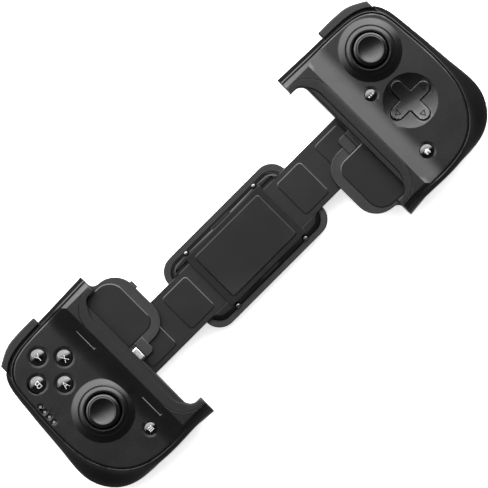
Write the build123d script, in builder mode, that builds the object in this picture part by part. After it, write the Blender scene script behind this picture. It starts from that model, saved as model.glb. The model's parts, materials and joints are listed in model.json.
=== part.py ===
from build123d import *
import os
from math import cos, radians, sin, sqrt

os.makedirs("parts", exist_ok=True)

# A phone controller: two mirrored grips on straps that slide in a flat middle bridge.
# The origin lies on the bridge's centre line, at the height of the grips' resting flats.
# X runs along the phone, Y towards the triggers and Z out of the face.
LEFT, RIGHT = -1, 1
SIDE_NAMES = {LEFT: "left", RIGHT: "right"}

# General walls, fits and overruns
wall = 2.2                    # rear shell wall
face_plate = 2.0              # front shell plate
seam_gap = 0.2                # gap round the face plate
seat_gap = 0.05               # gap between pieces that are seated on each other
sliding_gap = 0.1             # gap beside pieces that slide
pin_gap = 0.06                # radial gap round a turning pin
overrun = 10.0                # how far a cut runs past what it cuts
reach = 160.0                 # half size of blocks that stand for half space

# Plan of one grip, from the centre line outwards
horn_end = 67.3               # end faces of the two horns
lip_edge = 74.6               # edge of the lip over the phone
lip_nose = 0.6                # rubber in front of the shelf under the lip
slot_end = 80.0               # face of the wall at the end of the phone slot
cradle_wall = 1.8             # thickness of that wall
step_edge = 77.4              # small step along the rubber rim
rim_edge = 82.4               # outer edge of the rubber rim
ridge_foot = 91.5             # where the flat face begins
face_outer = 128.4
face_half = 42.75
body_outer = 134.0
body_half = 45.85
opening_low = -36.5           # phone opening between the horns
opening_high = 36.3
opening_corner = 4.5
step_half = 36.5
step_corner = 11.0
rim_half = 39.6
rim_corner = 14.0

# Heights of one grip
shoulder = 14.0               # widest level, on the seam between the rear halves of the form
upper_bulge = 18.5
neck_level = 22.4
face_top = 26.0
rim_top = 30.0
seam_drop = 0.8               # rear shell's edge below the face
form_top = 31.0
body_tuck = 0.3               # how much the form draws in at the upper bulge
neck_grow = 2.8               # how far the neck stands outside the face
seam_grow = 0.9               # how far the rear edge stands outside the face
ridge_round = 16.0
crest_round = 0.8
crown_side_drop = 1.5         # fall of the ridge beside the rim
crown_side_half = 43.6

# Closed outlines of the body and of the face, from the upper horn round the outside.
# Each pair is a share of the grip's width and of its half height.
body_shares = [
    (-0.109, 1.008), (0.115, 0.988), (0.415, 0.962), (0.610, 0.942), (0.760, 0.896),
    (0.861, 0.848), (0.8988, 0.778), (0.9265, 0.643), (0.9655, 0.251), (0.9925, -0.218),
    (1.0, -0.414), (0.982, -0.600), (0.934, -0.745), (0.8575, -0.866), (0.760, -0.942),
    (0.640, -0.976), (0.310, -0.970), (0.100, -0.990), (-0.109, -1.022),
]
face_shares = [
    (-0.119, 1.0035), (0.208, 0.9895), (0.453, 0.980), (0.633, 0.973), (0.764, 0.950),
    (0.854, 0.9006), (0.925, 0.809), (0.980, 0.503), (1.0, -0.187), (0.985, -0.370),
    (0.961, -0.503), (0.908, -0.660), (0.833, -0.800), (0.740, -0.898), (0.633, -0.957),
    (0.290, -0.9895), (-0.119, -1.008),
]

# Sections of the rounded back, from the resting flat up to the shoulder: share of the
# height, of the width at the inner and outer edge, and of the half height for the middle
# and the half length.
back_form_shares = [
    (0.00, 0.4300, 0.8500, -0.3050, 0.371),
    (0.10, 0.3100, 0.9175, -0.2400, 0.589),
    (0.35, 0.1600, 0.9625, -0.1310, 0.785),
    (0.65, 0.0255, 0.9880, -0.0327, 0.942),
    (1.00, 0.0000, 1.0000, 0.0000, 1.000),
]

# Inside of one grip
cavity_start = 81.7           # inner end of the hollow
cavity_high = 36.6            # upper end of the hollow beside the trigger
bay_wall_thick = 1.9          # shell wall behind the bumper
ledge = 1.7                   # width of the ledge that carries the face plate
board_bottom = 10.5
board_thick = 1.6
board_top = board_bottom + board_thick
board_corner = 2.0
chip_x = 103.0
chip_rows = (12.0, -12.0)
chip_length = 8.0
chip_width = 6.0
chip_high = 0.9
boss_radius = 2.6
post_radius = 3.4
screw_seat = 8.5
screw_head_radius = 2.0
screw_head_high = 1.6
screw_radius = 1.0
screw_end = 20.0
screw_clear = 0.25
access_radius = 2.5
screw_places = [(90.0, 33.0), (120.8, 0.5), (119.0, -24.0), (89.0, -36.5)]

# Outline of the circuit board, as shares of the body's width and half height
board_shares = [
    (0.265, 0.79), (0.44, 0.79), (0.70, 0.79), (0.78, 0.69), (0.87, 0.52), (0.905, 0.22),
    (0.905, -0.18), (0.885, -0.46), (0.82, -0.68), (0.70, -0.86), (0.265, -0.87),
]

# Cradle: slot end wall, phone ledge and ear behind the phone
cradle_bottom = 14.4
cradle_top = 17.0
pad_proud = 0.4               # soft pads stand this far above their carrier
slot_roof = 27.0              # underside of the lip
shelf_thick = 1.2
rim_floor = 28.4              # bed of the rubber rim
step_top = 29.3
liner_face = 78.65            # front of the rubber at the slot's end
ear_tip = 52.1
ear_high = 37.4
ear_low = -0.3
ear_top_corner = 12.0
ear_low_corner = 11.0
ear_web = 3.7                 # radius of the web between ear and horn
ear_pad_tip = 57.0
ear_pad_high = 36.0
ear_pad_low = 4.7
ear_pad_top_corner = 8.5
ear_pad_low_corner = 5.5
neck_inner = 66.8
neck_outer = 72.0
neck_high = 4.5
neck_low = -4.4
neck_chamfer = 1.3

# Strap and bridge
strap_bottom = 11.4
strap_top = 13.4
strap_half = 13.15
strap_inner = 13.5
strap_outer = 84.0
strap_block_half = 9.0
stake_radius = 1.5
stake_places = [(80.4, 5.5), (80.4, -5.5)]
strap_pad_half = 10.5
strap_pad_corner = 2.0
strap_pad_spans = [(30.9, 47.4), (57.0, 73.6)]
tray_half_length = 39.7
tray_half_width = 21.8
tray_corner = 9.0
tray_bottom = 5.6
tray_floor = 2.0
tray_round = 2.4
tray_pocket_length = 60.0
tray_pocket_width = 22.0
cover_half_length = 37.0
cover_half_width = 19.0
cover_corner = 7.5
cover_rise = 2.9
cover_slope = 1.8
roof_half_length = 25.3
roof_half_width = 16.2
roof_corner = 0.8
roof_top = 15.2
slot_notch_end = 32.5
slot_notch_half = 15.1
clip_half = 5.9
clip_depth = 1.0
clip_drop = 1.0
panel_half_length = 21.8
panel_half_width = 13.75
panel_corner = 1.5
panel_round = 0.3
bridge_screw_x = 23.1
bridge_screw_y = 17.8
bridge_screw_seat = 12.5
bridge_screw_head = 1.5
bridge_screw_head_high = 1.2
bridge_screw_dome = 1.0
bridge_screw_radius = 0.85
bridge_screw_end = 7.9

# Thumbsticks: place on each grip, gimbal and cap
stick_places = {LEFT: (104.7, -7.8), RIGHT: (109.1, 24.2)}
stick_pivot = 19.0
stick_hole = 9.2
collar_foot = 15.4
collar_crest = 10.3
collar_rise = 2.4
collar_groove_radius = 12.6
collar_groove = 0.35
dome_radius = 11.4
dome_wall = 1.0
dome_clear = 0.4
dome_angle = 72.0
stem_radius = 2.4
stem_top = 33.6
neck_radius = 3.8
neck_bottom = 30.3
cap_bottom = 32.8
cap_radius = 8.0
cap_shoulder = 7.1
cap_rim_radius = 6.2
cap_rim_top = 36.4
cap_side_top = 35.7
cap_side_foot = 34.2
cap_side_bottom = 33.7
bowl_radius = 5.5
bowl_floor = 35.3
hub_radius = 4.9
hub_half = 1.6
gimbal_half = 1.5
yoke_inner = 5.5
yoke_outer = 6.9
carrier_inner = 7.4
carrier_outer = 8.7
carrier_drop = 5.1
gimbal_pin = 0.8
base_bore = 8.8
base_outer = 10.1
base_top = 17.0
base_floor = 1.0
base_foot = 21.0
base_foot_corner = 2.0

# Round buttons: name, place, cap radius and top. Each hole is wider by hole_gap.
hole_gap = 0.35
face_button_radius = 4.0
face_button_top = 28.2
face_button_edge = 27.1
small_button_top = 26.9
small_button_edge = 26.3
button_flange = 1.0
flange_top = 23.9
flange_thick = 1.3
button_stem = 2.3
stem_bottom = 15.3
dish_width = 1.1
dish_depth = 0.35
guide_wall = 0.9
guide_drop = 2.6
mat_sheet = 0.8
mat_dome_radius = 2.9
mat_dome_top = 14.1
mat_margin = 2.2
face_button_places = [(108.8, 32.8), (118.2, 23.7), (100.0, 23.7), (108.8, 14.5)]
small_buttons = {
    LEFT: [("menu_button", (94.7, -29.8), 3.0)],
    RIGHT: [("view_button", (94.0, 8.7), 2.9), ("home_button", (94.0, -29.5), 3.35)],
}

# Direction pad on the right grip
pad_place = (105.7, -6.6)
pad_arm = 12.0
pad_half = 3.3
pad_gap = 0.45
pad_top = 27.3
pad_bottom = 23.1
pad_bowl_radius = 62.0
pad_bowl_floor = 26.4
pad_pivot = 21.0
pad_post = 3.2
pad_post_bottom = 19.9
pad_pin = 0.6
pad_ring_inner = 4.2
pad_ring_outer = 5.4
pad_ring_half = 0.7
pad_lug_inner = 5.9
pad_lug_outer = 7.3
pad_lug_half = 5.6
pad_lug_bottom = 19.8
pad_lug_top = 22.2
pad_well_radius = 13.4
pad_well_depth = 1.6
pad_well_margin = 1.2
pad_well_under = 1.6
pad_foot_radius = 1.4
pad_foot_place = 9.2
pad_foot_bottom = 19.9
pad_stop_top = 18.9

# Small features of the left grip
slit_x = 86.8
slit_width = 0.6
slit_round = 0.25
slit_spans = [(16.1, 28.6), (-28.9, -16.4)]
light_radius = 0.7
light_places = [(125.0, 14.9), (125.2, 11.6), (125.3, 8.4), (125.5, 5.1)]
plug_y = -0.4
plug_width = 6.7
plug_thick = 1.5
plug_tip = 72.0
plug_height = 22.2            # height of the plug's middle
plug_holder_width = 9.4
plug_holder_height = 4.2
plug_holder_back = 3.2
port_x = 97.0
port_width = 9.0
port_height = 3.2
port_wall = 0.3
port_tongue = 0.7
port_tongue_width = 6.7
port_tongue_length = 4.8
port_mouth_y = -43.9
port_depth = 7.3
port_clear = 0.1
port_recess_length = 13.0
port_recess_height = 6.4
latch_low = 22.9
latch_high = 27.1
latch_travel = 3.6
latch_bottom = 14.9
latch_top = 16.5
latch_root = 54.6
latch_neck = 53.0
latch_tip = 51.0
latch_step = 0.3

# Bumper and trigger
bay_inner = 96.9
bay_outer = 125.1
bay_wall = 38.6
bumper_inner = 97.2
bumper_outer = 124.8
bumper_crest = 47.9
bumper_fall = 5.7
bumper_bottom = 16.6
bumper_top = 24.4
bumper_wall_grow = 0.7        # shell wall behind the bumper, outside the face
bumper_back_grow = 2.0        # back of the bumper, outside the face
shelf_root_grow = -1.2        # root of the shelf under the bumper, inside the face
bumper_foot_round = 0.6
shelf_bottom = 15.0
shelf_top = 16.4
shelf_inset = 0.6
bumper_pin_place = (99.6, 45.3)
bumper_pin_radius = 0.8
bumper_pin_top = 22.4
bumper_pin_bottom = 15.4
trigger_inner = 97.8
trigger_outer = 121.2
trigger_bay_inner = 97.5
trigger_bay_outer = 121.5
trigger_lug = 1.8
trigger_lug_back = 38.0
trigger_lug_front = 42.5
trigger_lug_bottom = 9.9
trigger_crest = 47.6
trigger_axis_y = 41.0
trigger_axis_z = 12.4
trigger_pin_radius = 1.0
trigger_pin_inner = 95.6
trigger_hub = 2.2

# Outer edge of the bumper: share of its length and of its fall towards the outside
bumper_edge_shares = [
    (0.0, 0.02), (0.10, 0.0), (0.46, 0.044), (0.63, 0.15), (0.754, 0.35), (0.862, 0.61),
    (1.0, 1.0),
]
# Stations along the trigger: share of its length and of the bumper's fall
trigger_station_shares = [
    (0.0, 0.02), (0.265, 0.0), (0.52, 0.04), (0.735, 0.18), (0.885, 0.36), (1.0, 0.58),
]
# Section of the trigger, as shares of its hub's radius: the hollow front and the back
# from the front's line, and the hub from the axis
trigger_front_shares = [
    (-0.55, 1.0), (0.0, 0.27), (-0.68, -1.75), (-0.09, -3.7), (-0.82, -4.2),
]
trigger_back_shares = [(-1.73, -2.1)]
trigger_hub_shares = [(0.73, -0.86), (-0.55, -0.77), (-0.86, 0.5), (0.0, 1.0)]


def save(piece, name):
    """Label a finished piece and write it as one file."""
    piece.part.label = name
    export_step(piece.part, f"parts/{name}.step")


def spot(side, place):
    """Mirror a place given for the right grip to the side asked for."""
    return (side * place[0], place[1])


def outline_section(side, shares, height, inner, outer, middle, half):
    """One closed outline, stretched over a box in plan, at a height."""
    points = [
        (side * (inner + across * (outer - inner)), middle + along * half)
        for across, along in shares
    ]
    with BuildSketch(Plane.XY.offset(height)) as section:
        with BuildLine():
            Spline(*points)
            Line(points[-1], points[0])
        make_face()
    return section.sketch


def face_section(side, height, grow):
    """The face's outline, grown all round."""
    return outline_section(
        side, face_shares, height, horn_end, face_outer + grow, 0, face_half + grow
    )


def grip_form(side, inset, rim_inset):
    """The rounded outer form of a grip, or its hollow when inset by a wall."""
    width = body_outer - horn_end
    lower = [
        outline_section(
            side,
            body_shares,
            inset + rise * (shoulder - inset),
            horn_end + inner * width,
            horn_end + outer * width - inset,
            middle * body_half,
            half * body_half - inset,
        )
        for rise, inner, outer, middle, half in back_form_shares
    ]
    bulge = outline_section(
        side,
        body_shares,
        upper_bulge,
        horn_end,
        body_outer - body_tuck - inset,
        0,
        body_half - body_tuck - inset,
    )
    neck = face_section(side, neck_level, neck_grow - inset)
    seam = face_section(side, face_top - seam_drop, rim_inset)
    with BuildPart() as form:
        loft(sections=lower)
        loft(sections=[lower[-1], bulge, neck, seam])
        extrude(seam, amount=form_top - face_top + seam_drop)
        split(bisect_by=Plane.XY.offset(inset), keep=Keep.TOP)
    return form.part


def crown_block(side, drop):
    """Everything under the crowned face of a grip, lowered by drop."""
    side_top = rim_top - crown_side_drop - drop
    with BuildPart() as block:
        with BuildSketch(Plane.XZ) as ridge:
            with BuildLine():
                Polyline(
                    (0, -overrun),
                    (0, rim_top - drop),
                    (side * rim_edge, rim_top - drop),
                    (side * ridge_foot, face_top - drop),
                    (side * reach, face_top - drop),
                    (side * reach, -overrun),
                    close=True,
                )
            make_face()
            foot = ridge.vertices().sort_by_distance((side * ridge_foot, face_top - drop))
            fillet(foot[0], radius=ridge_round)
            crest = ridge.vertices().sort_by_distance((side * rim_edge, rim_top - drop))
            fillet(crest[0], radius=crest_round)
        extrude(amount=reach, both=True)
        with BuildSketch(Plane.YZ) as across:
            with BuildLine():
                Polyline(
                    (-reach, -overrun),
                    (-reach, side_top),
                    (-crown_side_half, side_top),
                    (-rim_half, rim_top - drop),
                    (rim_half, rim_top - drop),
                    (crown_side_half, side_top),
                    (reach, side_top),
                    (reach, -overrun),
                    close=True,
                )
            make_face()
        extrude(amount=reach, both=True, mode=Mode.INTERSECT)
    return block.part


def grown_face_block(side, grow):
    """The face's outline, grown and run through the whole height."""
    with BuildPart() as block:
        extrude(face_section(side, -overrun, grow), amount=form_top + 2 * overrun)
    return block.part


def middle_block(half_x, low, high, corner, bottom, top):
    """A block with rounded corners across the middle of the controller."""
    with BuildPart() as block:
        with BuildSketch(Plane.XY.offset(bottom)):
            with Locations((0, (low + high) / 2)):
                RectangleRounded(2 * half_x, high - low, corner)
        extrude(amount=top - bottom)
    return block.part


def plain_block(side, near, far, low, high, bottom, top):
    """A plain block between two distances from the centre line."""
    with BuildPart() as block:
        with Locations((side * (near + far) / 2, (low + high) / 2, (bottom + top) / 2)):
            Box(far - near, high - low, top - bottom)
    return block.part


def bumper_region(side, inset, back_grow, height, deep):
    """A slab up to the bumper's outer edge, hollowed behind by the grown face."""
    length = bumper_outer - bumper_inner
    edge = [
        (
            side * (bumper_inner + along * length),
            bumper_crest - fall * bumper_fall - inset,
        )
        for along, fall in bumper_edge_shares
    ]
    with BuildSketch(Plane.XY.offset(height)) as region:
        with BuildLine():
            Spline(*edge)
            Polyline(
                edge[-1],
                (side * bumper_outer, cavity_high - wall),
                (side * bumper_inner, cavity_high - wall),
                edge[0],
            )
        make_face()
    with BuildPart() as block:
        extrude(region.sketch, amount=deep)
        add(grown_face_block(side, back_grow), mode=Mode.SUBTRACT)
    return block.part


def rear_shell(side):
    """Rounded rear casing with the horns, screw posts and trigger bay."""
    seated_crown = crown_block(side, face_plate + seat_gap)
    hollow = grip_form(side, wall, -ledge)
    # Beside the trigger the hollow ends early; above the shelf it runs on to the bumper
    with BuildPart() as hollow_room:
        add(grown_face_block(side, bumper_wall_grow - bay_wall_thick))
        add(
            plain_block(side, cavity_start, reach, cavity_high, reach, shelf_top, reach),
            mode=Mode.INTERSECT,
        )
        add(plain_block(side, cavity_start, reach, -reach, cavity_high, -overrun, reach))
    with BuildPart() as hollow_cut:
        add(hollow)
        add(hollow_room.part, mode=Mode.INTERSECT)
    # The hollow runs on under the cradle, where the strap comes in
    with BuildPart() as strap_room:
        add(hollow)
        add(
            plain_block(
                side,
                lip_edge + wall,
                cavity_start + overrun,
                -strap_half - wall,
                strap_half + wall,
                -overrun,
                cradle_bottom,
            ),
            mode=Mode.INTERSECT,
        )
    # Block under the strap's root and the posts under the board follow the back's form
    with BuildPart() as supports:
        add(
            plain_block(
                side,
                lip_edge + wall - seam_gap,
                strap_outer,
                -strap_block_half,
                strap_block_half,
                0,
                strap_bottom,
            )
        )
        for place in screw_places:
            with Locations((*spot(side, place), 0)):
                Cylinder(
                    post_radius,
                    board_bottom,
                    align=(Align.CENTER, Align.CENTER, Align.MIN),
                )
        add(grip_form(side, wall / 2, -ledge), mode=Mode.INTERSECT)
    with BuildPart() as face_bed:
        add(grown_face_block(side, seam_gap))
        add(seated_crown, mode=Mode.SUBTRACT)
    with BuildPart() as bumper_bay:
        add(
            plain_block(
                side, bay_inner, bay_outer, cavity_high - wall, reach, shelf_top, form_top
            )
        )
        add(grown_face_block(side, bumper_wall_grow), mode=Mode.SUBTRACT)
    with BuildPart() as shell:
        add(grip_form(side, 0, seam_grow))
        add(crown_block(side, seam_drop), mode=Mode.INTERSECT)
        add(bumper_bay.part, mode=Mode.SUBTRACT)
        add(
            bumper_region(
                side, shelf_inset, shelf_root_grow, shelf_bottom, shelf_top - shelf_bottom
            )
        )
        add(
            plain_block(
                side,
                trigger_bay_inner,
                trigger_bay_outer,
                bay_wall,
                reach,
                -overrun,
                shelf_bottom,
            ),
            mode=Mode.SUBTRACT,
        )
        add(
            plain_block(
                side,
                trigger_bay_outer,
                trigger_bay_outer + trigger_lug,
                trigger_lug_back,
                trigger_lug_front,
                trigger_lug_bottom,
                shelf_bottom,
            )
        )
        add(hollow_cut.part, mode=Mode.SUBTRACT)
        add(strap_room.part, mode=Mode.SUBTRACT)
        add(face_bed.part, mode=Mode.SUBTRACT)
        # Opening for the phone and for the cradle
        add(
            plain_block(
                side,
                0,
                slot_end + cradle_wall + seat_gap,
                opening_low,
                opening_high,
                cradle_bottom,
                reach,
            ),
            mode=Mode.SUBTRACT,
        )
        add(
            middle_block(
                lip_edge, opening_low, opening_high, opening_corner, -overrun, reach
            ),
            mode=Mode.SUBTRACT,
        )
        add(
            plain_block(side, 0, horn_end, -reach, reach, -overrun, reach),
            mode=Mode.SUBTRACT,
        )
        # Way in for the strap, closed above by the cradle
        add(
            plain_block(
                side,
                lip_edge - overrun,
                cavity_start,
                -strap_half - sliding_gap,
                strap_half + sliding_gap,
                strap_bottom,
                cradle_bottom,
            ),
            mode=Mode.SUBTRACT,
        )
        add(supports.part)
        # Two stakes for the strap
        for place in stake_places:
            with Locations((*spot(side, place), strap_bottom - wall)):
                Cylinder(
                    stake_radius,
                    strap_top - strap_bottom + wall,
                    align=(Align.CENTER, Align.CENTER, Align.MIN),
                )
        # Screw holes through the posts, open from behind
        for place in screw_places:
            with Locations((*spot(side, place), 0)):
                Cylinder(
                    screw_radius + screw_clear,
                    board_top,
                    align=(Align.CENTER, Align.CENTER, Align.MIN),
                    mode=Mode.SUBTRACT,
                )
            with Locations((*spot(side, place), screw_seat)):
                Cylinder(
                    access_radius,
                    screw_seat + overrun,
                    align=(Align.CENTER, Align.CENTER, Align.MAX),
                    mode=Mode.SUBTRACT,
                )
        # Holes for the bumper's and the trigger's pins
        with Locations((*spot(side, bumper_pin_place), bumper_pin_bottom)):
            Cylinder(
                bumper_pin_radius + seat_gap,
                shelf_top,
                align=(Align.CENTER, Align.CENTER, Align.MIN),
                mode=Mode.SUBTRACT,
            )
        add(
            trigger_rod(
                side,
                trigger_pin_radius + seat_gap,
                trigger_pin_inner,
                trigger_bay_outer + trigger_lug + overrun,
            ),
            mode=Mode.SUBTRACT,
        )
        if side == LEFT:
            port_middle = board_top + port_height / 2
            with BuildSketch(Plane.XZ.offset(-port_mouth_y - wall)):
                with Locations((side * port_x, port_middle)):
                    RectangleRounded(
                        port_width + 2 * port_clear,
                        port_height + 2 * port_clear,
                        port_height / 2,
                    )
            extrude(amount=overrun, mode=Mode.SUBTRACT)
            with BuildSketch(Plane.XZ.offset(-port_mouth_y + port_clear)):
                with Locations((side * port_x, port_middle)):
                    RectangleRounded(port_recess_length, port_recess_height, port_height / 2)
            extrude(amount=overrun, mode=Mode.SUBTRACT)
    return shell


def trigger_rod(side, radius, near, far):
    """A round bar along the trigger's axis."""
    with BuildPart() as rod:
        with BuildSketch(Plane.YZ.offset(side * near)):
            with Locations((trigger_axis_y, trigger_axis_z)):
                Circle(radius)
        extrude(amount=side * (far - near))
    return rod.part


def stick_well_cut(side):
    """Hole in the face for the stick, with a round seat for its dome."""
    x, y = spot(side, stick_places[side])
    with BuildPart() as cut:
        with Locations((x, y, stick_pivot)):
            Sphere(dome_radius + dome_clear)
        with Locations((x, y, face_top)):
            Cylinder(stick_hole, 2 * overrun)
        # Room for the stick's base below the face
        with Locations((x, y, stick_pivot)):
            Cylinder(
                dome_radius + dome_clear,
                2 * overrun,
                align=(Align.CENTER, Align.CENTER, Align.MAX),
            )
    return cut.part


def stick_collar(side):
    """Convex ring round the stick's hole."""
    x, y = spot(side, stick_places[side])
    crest = face_top + collar_rise
    base = face_top - face_plate
    half_rise = collar_rise / 2
    groove = collar_groove_radius
    with BuildPart() as collar:
        with BuildSketch(Plane.XZ):
            with BuildLine():
                Polyline(
                    (stick_hole - seam_gap, base),
                    (stick_hole - seam_gap, crest),
                    (collar_crest, crest),
                    (groove - collar_groove, crest - half_rise + collar_groove),
                    (groove, crest - half_rise - collar_groove),
                    (groove + collar_groove, crest - half_rise),
                    (collar_foot, face_top),
                    (collar_foot, base),
                    close=True,
                )
            make_face()
        revolve(axis=Axis.Z)
    return collar.part.moved(Location((x, y, 0)))


def button_list(side):
    """Every round button of a grip: name, place, radius, top and edge height."""
    buttons = [
        (name, place, radius, small_button_top, small_button_edge)
        for name, place, radius in small_buttons[side]
    ]
    if side == LEFT:
        buttons += [
            (
                f"face_button_{number}",
                place,
                face_button_radius,
                face_button_top,
                face_button_edge,
            )
            for number, place in enumerate(face_button_places, start=1)
        ]
    return buttons


def cross_sketch(height, arm, half, centre):
    """A cross with round ends."""
    with BuildSketch(Plane.XY.offset(height)) as cross:
        with Locations(centre):
            SlotOverall(2 * arm, 2 * half)
            SlotOverall(2 * arm, 2 * half, rotation=90)
    return cross.sketch


def front_shell(side):
    """Face plate with the crowned ridge, shelf, collar, holes and bosses."""
    plate_under = face_top - face_plate
    buttons = button_list(side)
    with BuildPart() as shell:
        add(grown_face_block(side, 0))
        add(crown_block(side, face_plate), mode=Mode.SUBTRACT)
        # Bosses that take the screws from behind
        for place in screw_places:
            with Locations((*spot(side, place), board_top)):
                Cylinder(
                    boss_radius,
                    rim_top - board_top,
                    align=(Align.CENTER, Align.CENTER, Align.MIN),
                )
        # Guide rings of the round buttons
        for _, place, radius, _, _ in buttons:
            ring = radius + button_flange + sliding_gap + guide_wall
            with Locations((*spot(side, place), plate_under - guide_drop)):
                Cylinder(
                    ring,
                    rim_top - plate_under + guide_drop,
                    align=(Align.CENTER, Align.CENTER, Align.MIN),
                )
        if side == RIGHT:
            with Locations((*spot(side, pad_place), plate_under - pad_well_under)):
                Cylinder(
                    pad_well_radius + pad_well_margin,
                    rim_top - plate_under + pad_well_under,
                    align=(Align.CENTER, Align.CENTER, Align.MIN),
                )
        add(crown_block(side, 0), mode=Mode.INTERSECT)
        # Shelf over the end of the phone
        add(
            plain_block(
                side,
                lip_edge + lip_nose,
                slot_end + cradle_wall,
                opening_low + sliding_gap,
                opening_high - sliding_gap,
                slot_roof,
                slot_roof + shelf_thick,
            )
        )
        add(
            plain_block(side, 0, horn_end, -reach, reach, -overrun, reach),
            mode=Mode.SUBTRACT,
        )
        add(
            middle_block(
                lip_edge, opening_low, opening_high, opening_corner, -overrun, reach
            ),
            mode=Mode.SUBTRACT,
        )
        # Bed of the rubber rim, and the strip in front of the shelf
        add(
            middle_block(rim_edge, -rim_half, rim_half, rim_corner, rim_floor, reach),
            mode=Mode.SUBTRACT,
        )
        add(
            plain_block(
                side,
                0,
                lip_edge + lip_nose,
                opening_low,
                opening_high,
                slot_roof,
                rim_floor,
            ),
            mode=Mode.SUBTRACT,
        )
        add(stick_collar(side))
        if side == RIGHT:
            well_sphere = (pad_well_radius**2 + pad_well_depth**2) / (2 * pad_well_depth)
            with Locations((*spot(side, pad_place), face_top - pad_well_depth + well_sphere)):
                Sphere(well_sphere, mode=Mode.SUBTRACT)
            # Bearings of the direction pad's ring
            for way in (LEFT, RIGHT):
                lug_x = pad_place[0] + way * (pad_lug_inner + pad_lug_outer) / 2
                with Locations((lug_x, pad_place[1], pad_lug_bottom)):
                    Box(
                        pad_lug_outer - pad_lug_inner,
                        2 * pad_lug_half,
                        plate_under - pad_lug_bottom,
                        align=(Align.CENTER, Align.CENTER, Align.MIN),
                    )
            with BuildSketch(Plane.YZ.offset(pad_place[0] - pad_lug_outer)):
                with Locations((pad_place[1], pad_pivot)):
                    Circle(pad_pin + pin_gap)
            extrude(amount=2 * pad_lug_outer, mode=Mode.SUBTRACT)
            extrude(
                cross_sketch(
                    pad_lug_top, pad_arm + pad_gap, pad_half + pad_gap, spot(side, pad_place)
                ),
                amount=overrun,
                mode=Mode.SUBTRACT,
            )
        # Holes of the round buttons, with a shallow dish and room for the flange
        for _, place, radius, _, _ in buttons:
            hole = radius + hole_gap
            with Locations((*spot(side, place), face_top - dish_depth)):
                Cone(
                    hole,
                    hole + dish_width,
                    dish_depth,
                    align=(Align.CENTER, Align.CENTER, Align.MIN),
                    mode=Mode.SUBTRACT,
                )
            with Locations((*spot(side, place), face_top)):
                Cylinder(hole, 2 * overrun, mode=Mode.SUBTRACT)
            with Locations((*spot(side, place), plate_under)):
                Cylinder(
                    radius + button_flange + sliding_gap,
                    2 * guide_drop,
                    align=(Align.CENTER, Align.CENTER, Align.MAX),
                    mode=Mode.SUBTRACT,
                )
        add(stick_well_cut(side), mode=Mode.SUBTRACT)
        for place in screw_places:
            with Locations((*spot(side, place), board_top)):
                Cylinder(
                    screw_radius + pin_gap,
                    screw_end - board_top + seam_gap,
                    align=(Align.CENTER, Align.CENTER, Align.MIN),
                    mode=Mode.SUBTRACT,
                )
        if side == LEFT:
            for place in light_places:
                with Locations((*spot(side, place), face_top)):
                    Cylinder(light_radius + seat_gap, 2 * overrun, mode=Mode.SUBTRACT)
            for low, high in slit_spans:
                with BuildSketch(Plane.XY.offset(face_top - face_plate)):
                    with Locations((side * slit_x, (low + high) / 2)):
                        RectangleRounded(slit_width, high - low, slit_round)
                extrude(amount=overrun, mode=Mode.SUBTRACT)
    return shell


def rubber_rim(side):
    """Grainy rubber band round the lip, with a low step along its inner side."""
    with BuildPart() as rim:
        add(
            middle_block(
                rim_edge - seat_gap,
                seat_gap - rim_half,
                rim_half - seat_gap,
                rim_corner,
                rim_floor,
                rim_top,
            )
        )
        add(
            middle_block(step_edge, -step_half, step_half, step_corner, step_top, reach),
            mode=Mode.SUBTRACT,
        )
        add(
            plain_block(
                side,
                lip_edge,
                lip_edge + lip_nose - seat_gap,
                opening_low + opening_corner,
                opening_high - opening_corner,
                slot_roof,
                rim_floor,
            )
        )
        add(
            middle_block(
                lip_edge, opening_low, opening_high, opening_corner, -overrun, reach
            ),
            mode=Mode.SUBTRACT,
        )
        add(
            plain_block(side, horn_end, reach, -reach, reach, -overrun, reach),
            mode=Mode.INTERSECT,
        )
    return rim


def ear_sketch(side, height, tip, high, low, high_corner, low_corner, root):
    """Plan of an ear, which the right grip has turned upside down."""
    turn = -side
    with BuildSketch(Plane.XY.offset(height)) as ear:
        with BuildLine():
            Polyline(
                (side * root, turn * high),
                (side * tip, turn * high),
                (side * tip, turn * low),
                (side * root, turn * low),
                close=True,
            )
        make_face()
        upper = ear.vertices().sort_by_distance((side * tip, turn * high))
        fillet(upper[0], radius=high_corner)
        lower = ear.vertices().sort_by_distance((side * tip, turn * low))
        fillet(lower[0], radius=low_corner)
    return ear.sketch


def turned_span(side, low, high):
    """Y limits of a feature of the ear, turned over on the right grip."""
    return (low, high) if side == LEFT else (-high, -low)


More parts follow.
